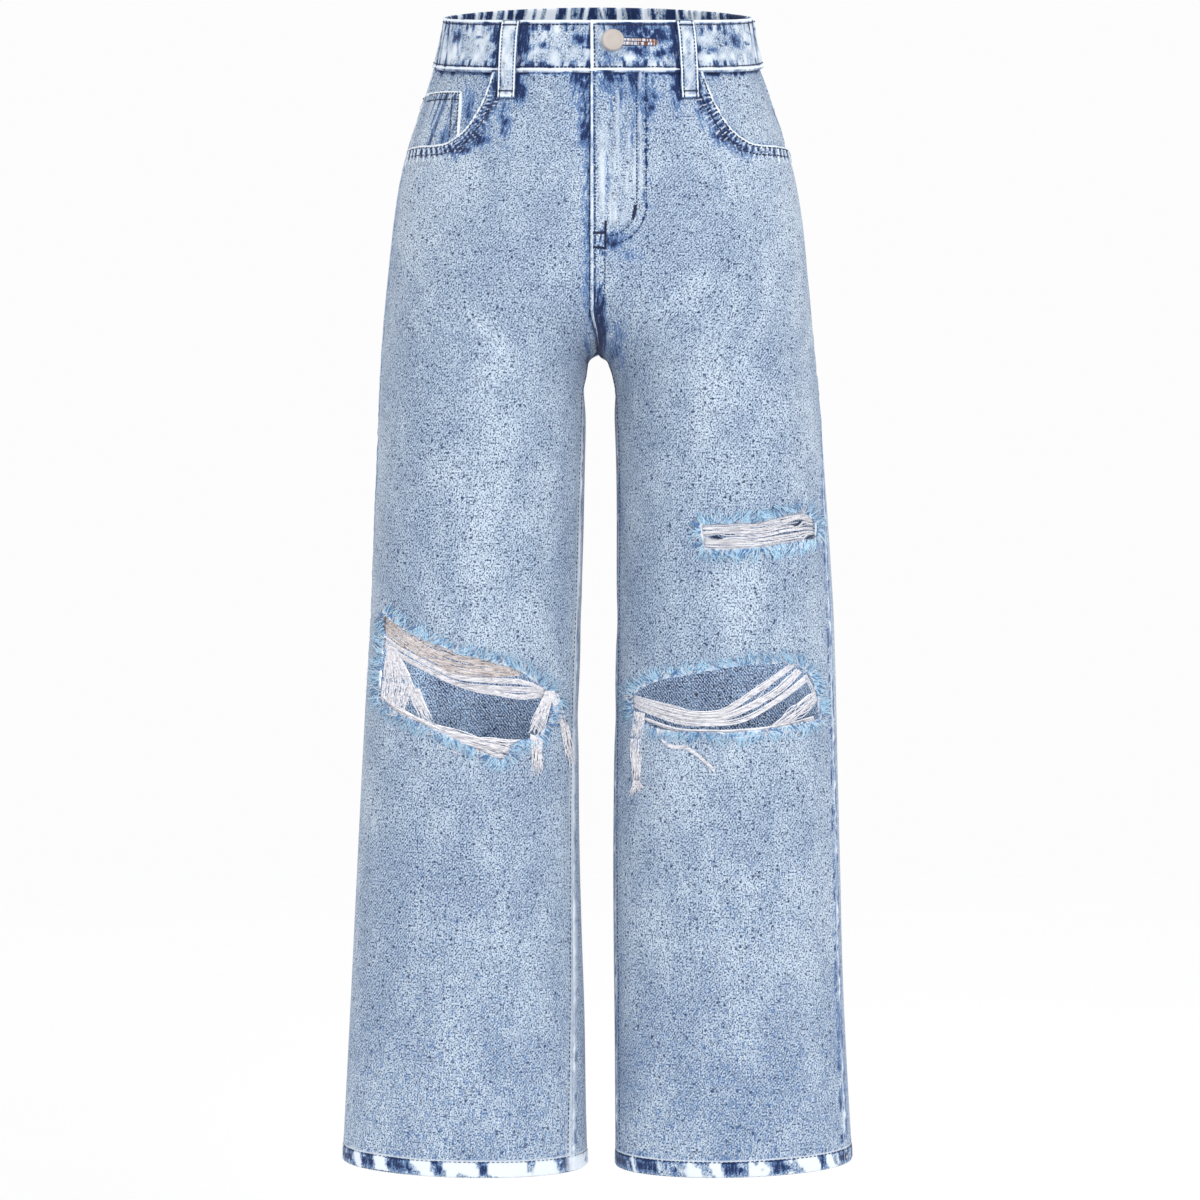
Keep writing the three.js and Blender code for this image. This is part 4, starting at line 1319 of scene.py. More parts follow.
def band_relief(s, outer):
    """Upright gathers where the band holds elastic: all round the back, and at each side in front.

    It gives how far the cloth stands out, its dye with painted shade in the gathers' troughs, and its
    paleness with painted light on their crests.
    """
    if s.panel.face == BACK:
        pull = np.ones(s.share.shape)
    else:
        pull = bump(s.from_outseam, 40)
    wave = noise(s.across, s.level, (3.6, 46), s.seed + 30)
    wave += 0.5 * noise(s.across, s.level, (1.9, 16), s.seed + 31)
    ends = ease((s.from_outseam - 0.5) / 5) if s.panel.face == BACK else 1.0
    height = 1.25 * pull * wave * ends
    flat = 0.25 * noise(s.across, s.level, (9, 9), s.seed + 32)
    blots = ease((noise(s.x, s.z, (6, 4.5), 96) - 0.5) / 0.35) * (s.panel.face == FRONT)
    ragged = 1 + 0.55 * noise(s.x, s.z, 4.5, 79) + 0.35 * noise(s.x, s.z, 2.1, 80)
    dye_with_painted_shade = np.zeros(s.share.shape)
    if s.panel.face == FRONT:
        for x, z, wide, high, strength in BAND_PATCHES:
            near = np.exp(-(((s.x - x) / wide) ** 2) - ((s.z - z) / high) ** 2)
            dye_with_painted_shade = np.maximum(dye_with_painted_shade, strength * near * ragged)
    # Painted shade in the troughs of the gathers.
    trough = ease((-wave + 0.02) / 0.45) * pull
    seam = noise(s.across, 0 * s.level, 2.6, s.seed + 33)
    ticks = 0.9 * ease((-seam - 0.1) / 0.4) * np.maximum(bump(s.level + 6, 2.6), bump(s.level + 32.5, 2.6))
    dye_with_painted_shade = np.maximum(np.maximum(dye_with_painted_shade, ticks), 0.75 * blots)
    # Painted light on the crests of the gathers; the outer face is paler all over.
    pale = ease((wave - 0.1) / 0.6) * pull
    if outer:
        pale = np.maximum(pale, 0.6 + 0.4 * noise(s.across, s.level, (5, 7), s.seed + 34))
    return height + flat, np.clip(dye_with_painted_shade + (0.95 if outer else 1.1) * trough, 0, 1), pale


def make_band(node, stretches):
    """A piece of waistband, from (panel, shares) stretches laid end to end."""
    columns = []
    for panel, shares in stretches:
        share, level = np.meshgrid(shares, [v for v, _ in BAND_OUTLINE], indexing="ij")
        s = Surface(panel, share, np.clip(level, HEM, 0))
        out = np.broadcast_to([o for _, o in BAND_OUTLINE], share.shape)
        outer = out > 0
        height, dye_with_painted_shade, pale = band_relief(s, True)
        _, inner_dye_with_painted_shade, inner_pale = band_relief(s, False)
        point = s.point + s.normal * (out + height)[..., None]
        point[..., 2] += np.clip(level, 0, None) + np.clip(level + 38, None, 0)
        uneven = 0.85 + 0.25 * noise(s.across, level, (4, 3), s.seed + 35)
        edge = np.maximum(bump(level + 36.9, 0.6), bump(level + 0.5, 0.65)) * outer * uneven
        # Painted shade, with dye kept there, in the grooves of the stitch rows and under the bottom edge.
        groove = np.maximum(bump(level + 35.0, 0.9), bump(level + 2.9, 1.0)) * outer
        groove = np.maximum(groove, bump(level + 38.6, 0.7))
        lap = 0.9 * bump(s.from_middle - 1.0, 0.8) * outer * (panel.face == FRONT) * (panel.side == LEFT)
        # Painted shade where the right band tucks in under the lap.
        behind = bump(s.from_middle, 2.0) * outer * (panel.face == FRONT) * (panel.side == RIGHT)
        # Painted shadow on the band beside the front belt loops.
        loop = 1.5 * bump(from_loop(s.x, level) - 7.6, 1.3) * outer * (panel.face == FRONT)
        point += s.normal * (0.7 * lap - 0.8 * behind)[..., None]
        rim = np.maximum(edge, lap)
        wear_and_painted_light = np.clip(np.where(outer, 0.6 * pale, 0.8 * inner_pale) + 1.1 * rim + 0.1, 0, 1)
        wear_and_painted_light = wear_and_painted_light * (1 - 0.8 * np.where(outer, np.clip(dye_with_painted_shade, 0, 1), 0) * (1 - rim))
        dark = np.maximum(np.maximum(0.75 * groove, behind), loop)
        dye_and_painted_shade = np.clip(np.where(outer, dye_with_painted_shade, inner_dye_with_painted_shade) * (1 - rim) + dark, 0, 1)
        cloth = np.stack([s.across, level + out, np.full(share.shape, BAND_CLOTH)], -1) * MM
        columns.append((point, cloth, dye_and_painted_shade, wear_and_painted_light))
    point, cloth, dye_and_painted_shade, wear_and_painted_light = (np.concatenate(parts) for parts in zip(*columns))
    across, round_it = point.shape[:2]
    number = np.arange(across * round_it).reshape(across, round_it)
    panel = stretches[0][0]
    flip = panel.side * panel.face > 0
    faces = ring_faces(number[:-1], number[1:], flip)
    faces += [(end if flip else end[::-1]).tolist() for end in (number[0], number[-1][::-1])]
    add_mesh(
        f"cloth_{node}", point.reshape(-1, 3), faces, [DENIM], [node],
        {"cloth": cloth.reshape(-1, 3), "dye_and_painted_shade": dye_and_painted_shade.ravel(), "wear_and_painted_light": wear_and_painted_light.ravel()},
    )


BAND_MIDDLE = -20
for side in (LEFT, RIGHT):
    panel = PANELS[side, FRONT]
    shares = spaced(0.0, (1.0, 1.2 / panel.width_at(BAND_MIDDLE)))
    make_band(f"waistband_front_{SIDE_NAMES[side]}", [(panel, shares)])
back_shares = spaced(0.0, (1.0, 1.15 / PANELS[LEFT, BACK].width_at(BAND_MIDDLE)))
make_band(
    "waistband_back",
    [(PANELS[LEFT, BACK], back_shares), (PANELS[RIGHT, BACK], back_shares[::-1][1:])],
)


def band_row(side, face, level):
    """A row of stitches along the waistband."""
    panel = PANELS[side, face]
    share = np.linspace(0.01, 0.99, 160)
    s = Surface(panel, share, np.full(160, float(level)))
    height, _, _ = band_relief(s, True)
    return s.point + s.normal * (0.95 + height)[:, None], s.normal


def share_at(panel, x, level):
    """The share where a panel has this X at each level."""
    rows = np.searchsorted(-panel.levels, -np.asarray(level, float))
    found = []
    for r, across in zip(np.clip(rows, 0, len(panel.levels) - 1), np.broadcast_to(x, np.shape(level))):
        found.append(np.interp(-panel.side * across, -panel.side * panel.points[r, :, 0], panel.shares))
    return np.array(found)


def band_end_row():
    """The upright row that closes the band's overlapping end."""
    level = np.linspace(-4, -34.5, 20)
    panel = PANELS[LEFT, FRONT]
    s = Surface(panel, 1 - 3.2 / panel.width_at(level), level)
    return s.point + s.normal * 1.15, s.normal


BAND_ROW_LEVELS = (-3.2, -35.0)
band_rows = [
    band_row(side, face, level)
    for side in (LEFT, RIGHT) for face in (FRONT, BACK) for level in BAND_ROW_LEVELS
]
add_stitches("stitches_waistband", [*band_rows, band_end_row()], STITCH, length=2.3, pitch=3.1, radius=0.6)


# ---- button and buttonhole -----------------------------------------------------------------------
BUTTON_X = 11
BUTTON_LEVEL = -15.5


def make_button():
    """The CAD button's profile again, with a soft rim and dish, on the same foot."""
    profile = [
        (0, 0.6), (3.4, 0.6), (3.5, 1.7), (7.3, 1.8), (7.9, 1.95), (8.2, 2.3), (8.3, 2.8), (8.2, 3.3),
        (7.9, 3.75), (7.4, 4.0), (6.9, 4.05), (6.4, 3.95), (6.0, 3.85), (4.5, 3.9), (3, 3.95), (1.5, 4.0),
        (0, 4.0),
    ]
    panel = PANELS[LEFT, FRONT]
    share = share_at(panel, BUTTON_X, np.array([BUTTON_LEVEL]))
    foot, normal = panel.at(share, np.array([BUTTON_LEVEL]), BAND_PROUD)
    foot, normal = foot[0], normal[0]
    right = np.cross((0, 0, 1), normal)
    right /= np.linalg.norm(right)
    up = np.cross(normal, right)
    count = 64
    turn = np.linspace(0, 2 * np.pi, count, endpoint=False)
    points = [foot + normal * profile[0][1]]
    for radius, height in profile[1:-1]:
        for t in turn:
            points.append(foot + normal * height + radius * (right * math.cos(t) + up * math.sin(t)))
    points.append(foot + normal * profile[-1][1])
    faces = []
    rings = len(profile) - 2
    for k in range(count):
        n = (k + 1) % count
        faces.append((0, 1 + n, 1 + k))
        for r in range(rings - 1):
            a, b = 1 + r * count, 1 + (r + 1) * count
            faces.append((a + k, a + n, b + n, b + k))
        last = 1 + (rings - 1) * count
        faces.append((last + k, last + n, len(points) - 1))
    add_mesh("button_cap", points, faces, [BUTTON], ["button"])


make_button()


def make_buttonhole():
    """Satin stitching round the slit beside the button, part white and part rust brown."""
    panel = PANELS[LEFT, FRONT]
    start, end, half, slit_z = 17.5, 42.0, 2.3, -35.8
    random = np.random.default_rng(8)
    white, brown = [], []
    for side_of_slit in (1, -1):
        for x in np.arange(start, end, 0.62):
            share, level = panel.find([x, x + random.uniform(-0.3, 0.3)], [slit_z, slit_z])
            point, normal = panel.at(share, level, BAND_PROUD + 0.9)
            reach = np.array([0.35, 0.9, 1.6, half])[:, None] * side_of_slit
            bow = np.array([0.1, 0.6, 0.6, -0.4])[:, None]
            line = point[0] + np.array([0, 0, 1.0]) * reach + normal[0] * bow
            target = brown if random.random() < (0.4 if x > 28 else 0.25) else white
            target.append((line, 0.42, np.broadcast_to(normal[0], (4, 3))))
    for angle in np.linspace(-0.45 * np.pi, 0.45 * np.pi, 9):
        share, level = panel.find([end], [slit_z])
        point, normal = panel.at(share, level, BAND_PROUD + 0.9)
        way = np.array([math.cos(angle), 0, math.sin(angle)])
        reach, bow = np.array([[0.2, 0.7, 1.3, 2.2], [0.1, 0.6, 0.5, -0.4]])[..., None]
        line = point[0] + way * reach + normal[0] * bow
        brown.append((line, 0.42, np.broadcast_to(normal[0], (4, 3))))
    # A dark tube along the slit stands in for the shadow in it; two more, sunk a little into the cloth, run
    # round the stitching.
    share, level = panel.find(np.linspace(start, end, 12), np.full(12, slit_z))
    slit, normal = panel.at(share, level, BAND_PROUD + 1.0)
    outline = [slit + np.array([0, 0, 1.0]) * (half + 0.5) * k - normal * 0.5 for k in (1, -1)]
    add_tubes("buttonhole_thread_pale", white, PALE_STITCH)
    add_tubes("buttonhole_thread_brown", brown, RUST)
    add_tubes("buttonhole_slit", [(slit, 0.5, normal), *((line, 0.4, normal) for line in outline)], STITCH)


make_buttonhole()


# ---- belt loops ------------------------------------------------------------------------------------
LOOP_WIDTH = 13.5
LOOP_TACK_LEVELS = (-54.0, -4.5)
LOOP_PATH = [(-0.5, 1.8), (-12, 3.2), (-26, 3.2), (-38, 2.6), (-48, 1.5), (-59, 0.9)]
LOOPS = {
    "loop_front_left": (FRONT, 64.5, 69),
    "loop_front_right": (FRONT, -64.5, -68.5),
    "loop_side_left": (BACK, 80, 84),
    "loop_side_right": (BACK, -80, -84),
    "loop_back": (BACK, 0, 0),
}


def torso_at(face, x, level, out):
    """Points on the front or back above the hips at each X and level, and the normals."""
    x, level = np.broadcast_arrays(np.asarray(x, float), np.asarray(level, float))
    points, normals = np.zeros((*x.shape, 3)), np.zeros((*x.shape, 3))
    for side in (LEFT, RIGHT):
        panel = PANELS[side, face]
        mine = (x >= 0) if side == LEFT else (x < 0)
        if mine.any():
            share = share_at(panel, x[mine], level[mine])
            points[mine], normals[mine] = panel.at(share, level[mine], np.broadcast_to(out, x.shape)[mine])
    return points, normals


def make_loop(name, face, top_x, bottom_x):
    """A folded strip: bright rolled edges, a groove inside each for its stitches, and tacked ends."""
    path = smooth_line(LOOP_PATH, 1.3)
    half = LOOP_WIDTH / 2
    one_half = [0.4, 0.64, 0.72, 0.8, 0.9, 0.97, 1]
    across = np.array([*[-v for v in one_half[::-1]], 0, *one_half]) * half
    lift = np.array([0.9, 1.4, 1.8, 1.8, 1.5, 1.7, 1.85, 1.9, 1.85, 1.7, 1.5, 1.8, 1.8, 1.4, 0.9])
    section_x = np.concatenate([across, across[::-1]])
    section_out = np.concatenate([lift, np.full(len(across), 0.0)])
    section_out[-1] = section_out[len(across)] = 0.5
    middle = top_x + (bottom_x - top_x) * path[:, 0] / LOOP_PATH[-1][0]
    level = np.broadcast_to(path[:, :1], (len(path), len(section_x)))
    x = middle[:, None] + section_x[None, :]
    out = path[:, 1][:, None] + section_out[None, :]
    rough = 0.12 * noise(section_x[None, :] + 40 * top_x, level, (3, 3.5), 61)
    ends = np.minimum(-0.3 - level, level + 59.3)
    out = out - 0.8 * bump(ends, 0.7) * (section_out[None, :] > 0.6) + rough
    points, _ = torso_at(face, x, level, out)
    along_it, round_it = x.shape
    number = np.arange(along_it * round_it).reshape(along_it, round_it)
    a, b = number[:-1], number[1:]
    faces = np.stack([a, np.roll(a, -1, 1), np.roll(b, -1, 1), b], -1).reshape(-1, 4)
    caps = [number[0][::-1].tolist(), number[-1].tolist()]
    if face == FRONT:
        faces = faces[:, ::-1]
        caps = [c[::-1] for c in caps]
    from_edge = half - np.abs(np.broadcast_to(section_x, x.shape))
    tack = np.maximum(*(bump(level - at_level, 0.9) for at_level in LOOP_TACK_LEVELS))
    soft = 0.47 + 0.2 * noise(x, level, (3, 6), 63)
    wear_and_painted_light = np.clip(soft + 0.6 * bump(from_edge - 0.9, 0.6) + 0.5 * bump(ends - 1, 1.0), 0, 1)
    # The stitch grooves are painted shade with dye kept there, and the dark rims are painted shadow along the
    # edges and ends with the dark of the rolled edge.
    groove = bump(from_edge - 2.1, 0.7)
    rim = np.maximum(bump(from_edge, 0.6), bump(ends, 0.5))
    patchy = ease(noise(x, level, (4, 5), 62) * 1.4 - 0.3)
    dye_and_painted_shade = np.clip(0.8 * groove + 0.7 * tack + 0.4 * patchy * (from_edge > 3) + 0.9 * rim, 0, 1)
    wear_and_painted_light = wear_and_painted_light * (1 - rim)
    over_the_loop = np.broadcast_to(section_x, x.shape) + 5 * top_x
    cloth = np.stack([over_the_loop, level, np.full(x.shape, LOOP_CLOTH)], -1) * MM
    add_mesh(
        f"cloth_{name}", points.reshape(-1, 3), [*faces.tolist(), *caps], [DENIM], [name],
        {"cloth": cloth.reshape(-1, 3), "dye_and_painted_shade": dye_and_painted_shade.ravel(), "wear_and_painted_light": wear_and_painted_light.ravel()},
    )
    rows = []
    for edge in (-half + 2.1, half - 2.1):
        line, normal = torso_at(face, middle + edge, path[:, 0], path[:, 1] + 1.5)
        rows.append((line, normal))
    tacks = []
    for at_level in LOOP_TACK_LEVELS:
        reach = np.linspace(-half + 1.6, half - 1.6, 12)
        out_here = np.interp(-at_level, -path[:, 0], path[:, 1]) + 1.75
        centre = np.interp(-at_level, -path[:, 0], middle)
        line, normal = torso_at(face, centre + reach, np.full(12, at_level), out_here)
        tacks += bar_tack(line, normal, 1.3)
    return rows, tacks


loop_rows, loop_tacks = [], []
for name, (face, top_x, bottom_x) in LOOPS.items():
    rows, tacks = make_loop(name, face, top_x, bottom_x)
    loop_rows += rows
    loop_tacks += tacks
add_stitches("stitches_loops", loop_rows, STITCH, length=2.0, pitch=2.7, radius=0.55)
add_tubes("loop_tacks", loop_tacks, STITCH)


# ---- fly facing and zip, inside ---------------------------------------------------------------------
def make_fly_inside():
    """The fly's facing, and the zip's teeth and tape behind it."""
    panel = PANELS[LEFT, FRONT]
    share, level = np.meshgrid(np.linspace(0.72, 1, 30), np.arange(-39, -200, -2.5))
    s = Surface(panel, share, level)
    outline = [*fly_outline(-2.5), (-LAP + 0.3, FLY_BOTTOM), (-LAP + 0.3, -30), (FLY_WIDTH, -30)]
    cloth_piece(
        "cloth_fly_facing", s, [INSIDE, DENIM], ["fly_facing"], out=-1.9, thick=0.9,
        field=-outline_distance(s.x, s.z, outline),
    )
    tape_x, rows = 9.0, np.arange(-68, -180, -1.0)
    share = share_at(panel, tape_x, rows)
    teeth = []
    for k, (sh, lv) in enumerate(zip(share, rows)):
        point, normal = panel.at(np.array([sh]), np.array([lv]), -4.0)
        way = np.array([1.0, 0, 0]) * (1 if k % 2 else -1)
        line = point[0] + way * np.array([-0.8, 0.6, 2.2])[:, None]
        teeth.append((line, np.array([0.45, 0.6, 0.5]), np.broadcast_to(normal[0], (3, 3))))
    add_tubes("zip_teeth", teeth, BRASS)
    share, level = np.meshgrid(np.linspace(0.86, 0.985, 16), np.arange(-66, -184, -2.5))
    tape = Surface(panel, share, level)
    cloth_piece(
        "zip_tape", tape, [WHITE_TAPE, WHITE_TAPE], ["fly_zip"], out=-3.1, thick=0.6,
        field=np.minimum(tape.x + 3, 21 - tape.x),
    )


make_fly_inside()


# ---- back pockets -------------------------------------------------------------------------------------
PATCH_X = 66
PATCH = [(-56, -70), (56, -70), (49, -184), (0, -197), (-49, -184)]
PATCH_OUT = 1.6


def patch_surface(panel, share, level):
    """Spots on a back pocket, with its border, hem and puckers."""
    s = Surface(panel, share, level)
    x = s.x * panel.side - PATCH_X
    border = [(56, -60), (49, -184), (0, -197), (-49, -184), (-56, -60)]
    edge = outline_distance(x, s.z, border, closed=False)
    from_top = -110 - s.level
    wave = noise(s.across + s.level, s.level, 4.5, s.seed + 40)
    near = np.minimum(edge, from_top)
    s.ridge(
        0.6 * bump(near - 1.2, 1.4) - 0.7 * bump(near, 0.6) + 0.3 * ease((13 - from_top) / 1)
        + 0.35 * wave * bump(near, 8) + 0.5 * noise(s.across, s.level, (30, 60), s.seed + 41),
        dye_and_painted_shade=np.maximum(0.75 * ease(-wave / 0.5) * bump(edge - 5, 3), 0.6 * bump(from_top - 14.5, 1.5)),
        wear_and_painted_light=1.0 * bump(near - 1.0, 1.2) + 0.3 * ease(wave) * bump(edge - 5, 4),
    )
    return s


def make_patch_pocket(side):
    """A back pocket. It gives the rows of its stitches."""
    panel = PANELS[side, BACK]
    name = SIDE_NAMES[side]
    share, level = np.meshgrid(np.linspace(0.08, 0.99, 110), spaced(-110, (-215, 1.6)))
    s = patch_surface(panel, share, level)
    outline = [(side * (PATCH_X + x), z) for x, z in PATCH]
    field = -outline_distance(s.x, s.z, outline)
    cloth_piece(
        f"cloth_back_pocket_{name}", s, [DENIM, INSIDE], [f"back_pocket_{name}"],
        out=PATCH_OUT, thick=1.3, field=field,
    )
    rows = []
    for inset in (2.0, 7.5):
        line = np.array([(56, -88), (49, -184), (0, -197), (-49, -184), (-56, -88)], float)
        centre = np.array([0, -120.0])
        sides = []
        for k in range(4):
            way = (line[k + 1] - line[k]) / np.linalg.norm(line[k + 1] - line[k])
            inward = np.array([way[1], -way[0]])
            inward *= np.sign(np.dot(inward, centre - line[k]))
            sides.append((line[k] + inward * inset, way))
        corners = []
        for (p, u), (q, v) in zip(sides, sides[1:]):
            t = np.linalg.solve(np.array([u, -v]).T, q - p)[0]
            corners.append(p + u * t)
        path = np.array([sides[0][0], *corners, line[-1] + [inset, 0]])
        path = along(path, np.linspace(0, 1, 200)) + [PATCH_X, 0]
        path = path[path[:, 1] < -90] * [side, 1]
        rows.append(on_back(panel, patch_surface, path, PATCH_OUT))
    share = np.linspace(0.1, 0.97, 120)
    top = patch_surface(panel, share, np.full(120, -123.0))
    inside = (np.abs(top.x * side - PATCH_X) < 51)
    rows.append((top.placed(PATCH_OUT)[inside], top.normal[inside]))
    return rows


def on_back(panel, dress, line, out):
    """As on_panel, for a line on the back."""
    x, z = line[:, 0], line[:, 1]
    level = z - 20.0
    for _ in range(12):
        share = share_at(panel, x, level)
        point, _ = panel.at(share, level)
        level = np.clip(level + z - point[:, 2], HEM, 0)
    s = dress(panel, share, level)
    return s.placed(out), s.normal


patch_rows = [row for side in (LEFT, RIGHT) for row in make_patch_pocket(side)]


def yoke_rows():
    """Two rows above each yoke's seam, and two beside the back seam."""
    rows = []
    for side in (LEFT, RIGHT):
        panel = PANELS[side, BACK]
        share = np.linspace(0.02, 0.99, 150)
        for above in (2.2, 8.5):
            s = Surface(panel, share, yoke_level(share) + above)
            rows.append((s.placed(0.75), s.normal))
    panel = PANELS[LEFT, BACK]
    for distance in (2.4, 8.6):
        level = np.arange(-42, -258, -1.5)
        s = Surface(panel, 1 - distance / panel.width_at(level), level)
        rows.append((s.placed(0.5), s.normal))
    return rows


add_stitches("stitches_back", [*patch_rows, *yoke_rows()], STITCH, radius=0.5)


# ---- threads across the rips ----------------------------------------------------------------
FRONT_PANELS = {LEFT: PANELS[LEFT, FRONT], RIGHT: PANELS[RIGHT, FRONT]}
THREAD_OUT = -1.3  # the threads lie behind the cloth's face


def placed_lines(side, lines, outs):
    """Lines in X and Z, all with the same number of points, laid at their depths on a front panel."""
    lines = np.asarray(lines, float)
    share, level = FRONT_PANELS[side].find(lines[..., 0].ravel(), lines[..., 1].ravel())
    points, normals = FRONT_PANELS[side].at(share, level, np.asarray(outs, float).ravel())
    return points.reshape(*lines.shape[:2], 3), normals.reshape(*lines.shape[:2], 3)


THREAD_STEPS = 26
HANGING_STEPS = 18
FIBRE_STEPS = 9
FIBRE_CURL = 1.5


def thread_band(side, upper, lower, count, seed, radius, wander, depth, tilt, slits=()):
    """Threads that cross a rip between two lines, loosely side by side, some over others.

    wander and tilt are shares of the band's width, depth is in millimetres, and each slit is
    (X, Z, how far the threads part).
    """
    random = np.random.default_rng(seed)
    t = np.linspace(0, 1, THREAD_STEPS)
    top, bottom = along(smooth_line(upper, 2), t), along(smooth_line(lower, 2), t)
    lines, outs, radii = [], [], []
    for k in range(count):
        place = (k + random.uniform(0.1, 0.9)) / count
        lean = random.uniform(-tilt, tilt)
        share = place + lean * (t - 0.5) + wander * noise(t * 5 + 3.7 * k, t * 0 + k, (1, 1), seed)
        share = np.clip(share, -0.04, 1.04)
        line = top * (1 - share)[:, None] + bottom * share[:, None]
        for x, z, push in slits:
            away = line[:, 1] - z
            line[:, 1] += push * np.sign(away + 0.01) * bump(line[:, 0] - x, 5) * bump(away, 3.2)
        lift = random.uniform(-depth, depth) + 0.5 * noise(t * 4 + k, 0 * t, 1, seed + 1)
        ends = np.minimum(ease(t / 0.05), ease((1 - t) / 0.05))
        lines.append(line)
        outs.append(THREAD_OUT + lift * ends - 0.9 * (1 - ends))
        radii.append(radius * random.uniform(0.65, 1.15) * np.ones(THREAD_STEPS))
    points, normals = placed_lines(side, lines, outs)
    return list(zip(points, radii, normals))


def hanging_threads(side, roots, tips, count, seed, radius, curl, out):
    """Loose threads that hang from a line of roots down to a line of tips, waving a little."""
    random = np.random.default_rng(seed)
    root, tip = smooth_line(roots, 1), smooth_line(tips, 1)
    t = np.linspace(0, 1, HANGING_STEPS)
    lines, outs, radii = [], [], []
    for k in range(count):
        spot = np.array([(k + random.uniform(0, 1)) / count])
        start, end = along(root, spot)[0], along(tip, spot)[0]
        reach = random.uniform(0.6, 1.0)
        line = start + (end - start) * (t * reach)[:, None]
        way = (end - start) / (np.linalg.norm(end - start) + 1e-6)
        sway = curl * t ** 0.8 * noise(t * 4 + 5.3 * k, 0 * t + k, 1, seed + 2)
        line = line + np.array([-way[1], way[0]]) * sway[:, None]
        lines.append(line)
        outs.append(out + 0.5 * noise(t * 5 + k, 0 * t, 1, seed + 3) + random.uniform(-0.4, 0.4))
        radii.append(radius * random.uniform(0.7, 1.1) * (1 - 0.5 * t**3))
    points, normals = placed_lines(side, lines, outs)
    return list(zip(points, radii, normals))


def hung_from(side, table):
    """The hanging threads that a table gives, row by row."""
    return [thread for row in table for thread in hanging_threads(side, *row)]


def raised(paths, out):
    """The same threads, moved out from the cloth."""
    return [(line + normal * out, radii, normal) for line, radii, normal in paths]


def edge_fibres(side, hole, count, seed, reach, radius):
    """Curly fibres from the torn edge of a rip: they stand up off the cloth and lie back over it."""
    random = np.random.default_rng(seed)
    outline = smooth_line([*hole, hole[0]], 1)
    t = np.linspace(0, 1, FIBRE_STEPS)
    lines, outs, radii = [], [], []
    for _ in range(count):
        spot = random.uniform(0, 1)
        here, ahead = along(outline, [spot, min(spot + 0.004, 1)])
        way = (ahead - here) / (np.linalg.norm(ahead - here) + 1e-6)
        outward = np.array([-way[1], way[0]])
        if outline_distance(*(here + outward), hole) < 0:
            outward = -outward
        start = here + outward * random.uniform(-0.8, 1.5)
        lean = 1.2 * float(noise(spot * len(outline), 0.0, 9, seed)) + random.normal(0, 0.25)
        aim = outward + way * lean + [0, random.normal(-0.1, 0.2)]
        aim /= np.linalg.norm(aim)
        turn = random.uniform(0, 6.28) + random.uniform(2, 6) * t
        swing = FIBRE_CURL * random.uniform(0.2, 1) * t[:, None] * np.stack([np.sin(turn), np.cos(turn)], -1)
        lines.append(start + aim * (t * random.uniform(*reach))[:, None] + swing)
        outs.append(0.5 + 1.6 * np.sin(np.pi * t * 0.85) * random.uniform(0.3, 1))
        radii.append(radius * random.uniform(0.6, 1.25) * (1 - 0.55 * t**2))
    points, normals = placed_lines(side, lines, outs)
    return list(zip(points, radii, normals))


def add_threads(name, paths, material, nodes=(), sides=4):
    add_tubes(name, paths, material, nodes, sides)


THIGH_UPPER = [(74, -396), (99, -394.5), (122, -393.5), (141, -388.5), (158, -386), (167, -389)]
THIGH_LOWER = [(78, -416), (106, -417), (137, -413.5), (168, -408)]
THIGH_SLITS = [(152, -396, 2.0), (89, -407, 2.0), (162, -406, 2.0)]
thigh = thread_band(LEFT, THIGH_UPPER, THIGH_LOWER, 30, 11, 0.5, 0.04, 0.7, 0.04, THIGH_SLITS)
thigh += thread_band(LEFT, THIGH_UPPER, THIGH_LOWER, 4, 12, 0.36, 0.05, 0.5, 0.1)
add_threads("threads_thigh", thigh, WHITE_THREAD, ["threads_thigh"])
# Dark tubes stand in for the shadow where the white threads part.
SLIT_SHADOWS = [
    [(148.5, -398), (152, -396.4), (155.5, -393)],
    [(84.5, -406.5), (89, -407), (93.5, -408)],
    [(158.5, -407.5), (162, -406), (165.5, -404.5)],
]
dark = []
for line in SLIT_SHADOWS:
    line = smooth_line(line, 1)
    points, normals = placed_lines(LEFT, line[None], np.full(len(line), THREAD_OUT + 0.9))
    dark.append((points[0], 0.95 * np.sin(np.linspace(0.35, np.pi - 0.35, len(line))), normals[0]))
add_threads("shadow_slits_thigh", dark, STITCH)

# Ropes of threads over the left knee: upper line, lower line, number of threads, their radius.
LEFT_ROPES = [
    ([(25, -527), (57, -534.5), (77, -538), (96, -535), (122, -518), (148, -501.5)],
     [(25, -530), (57, -538), (77, -541.5), (97, -538.5), (126, -520.5), (151, -503.5)], 13, 0.5),
    ([(25, -529), (57, -538), (77, -541.5), (98, -539), (130, -524), (152, -506.5)],
     [(25, -533), (57, -542.5), (77, -545), (100, -543), (134, -527), (156, -509)], 13, 0.5),
    ([(26, -533), (55, -543), (77, -545.5), (106, -542.5), (131, -530), (157, -512)],
     [(26, -536), (55, -546.5), (77, -549), (107, -546.5), (134, -533), (161, -515)], 12, 0.5),
    ([(132, -549), (145, -537), (159, -527), (169, -523)],
     [(134, -551), (150, -546), (163, -536), (170, -526)], 17, 0.46),
    ([(29, -541.5), (57, -550), (77, -552), (103, -552), (134, -549), (166, -543)],
     [(29, -544), (57, -553), (77, -555), (103, -555), (134, -552), (167, -546.5)], 12, 0.46),
    ([(157, -511), (166, -527), (175, -540)], [(160, -511), (169, -527), (178, -541)], 7, 0.46),
]
left_knee = []
for number, (upper, lower, count, radius) in enumerate(LEFT_ROPES):
    left_knee += thread_band(LEFT, upper, lower, count - 3, 21 + number, 0.9 * radius, 0.16, 0.8, 0.3)
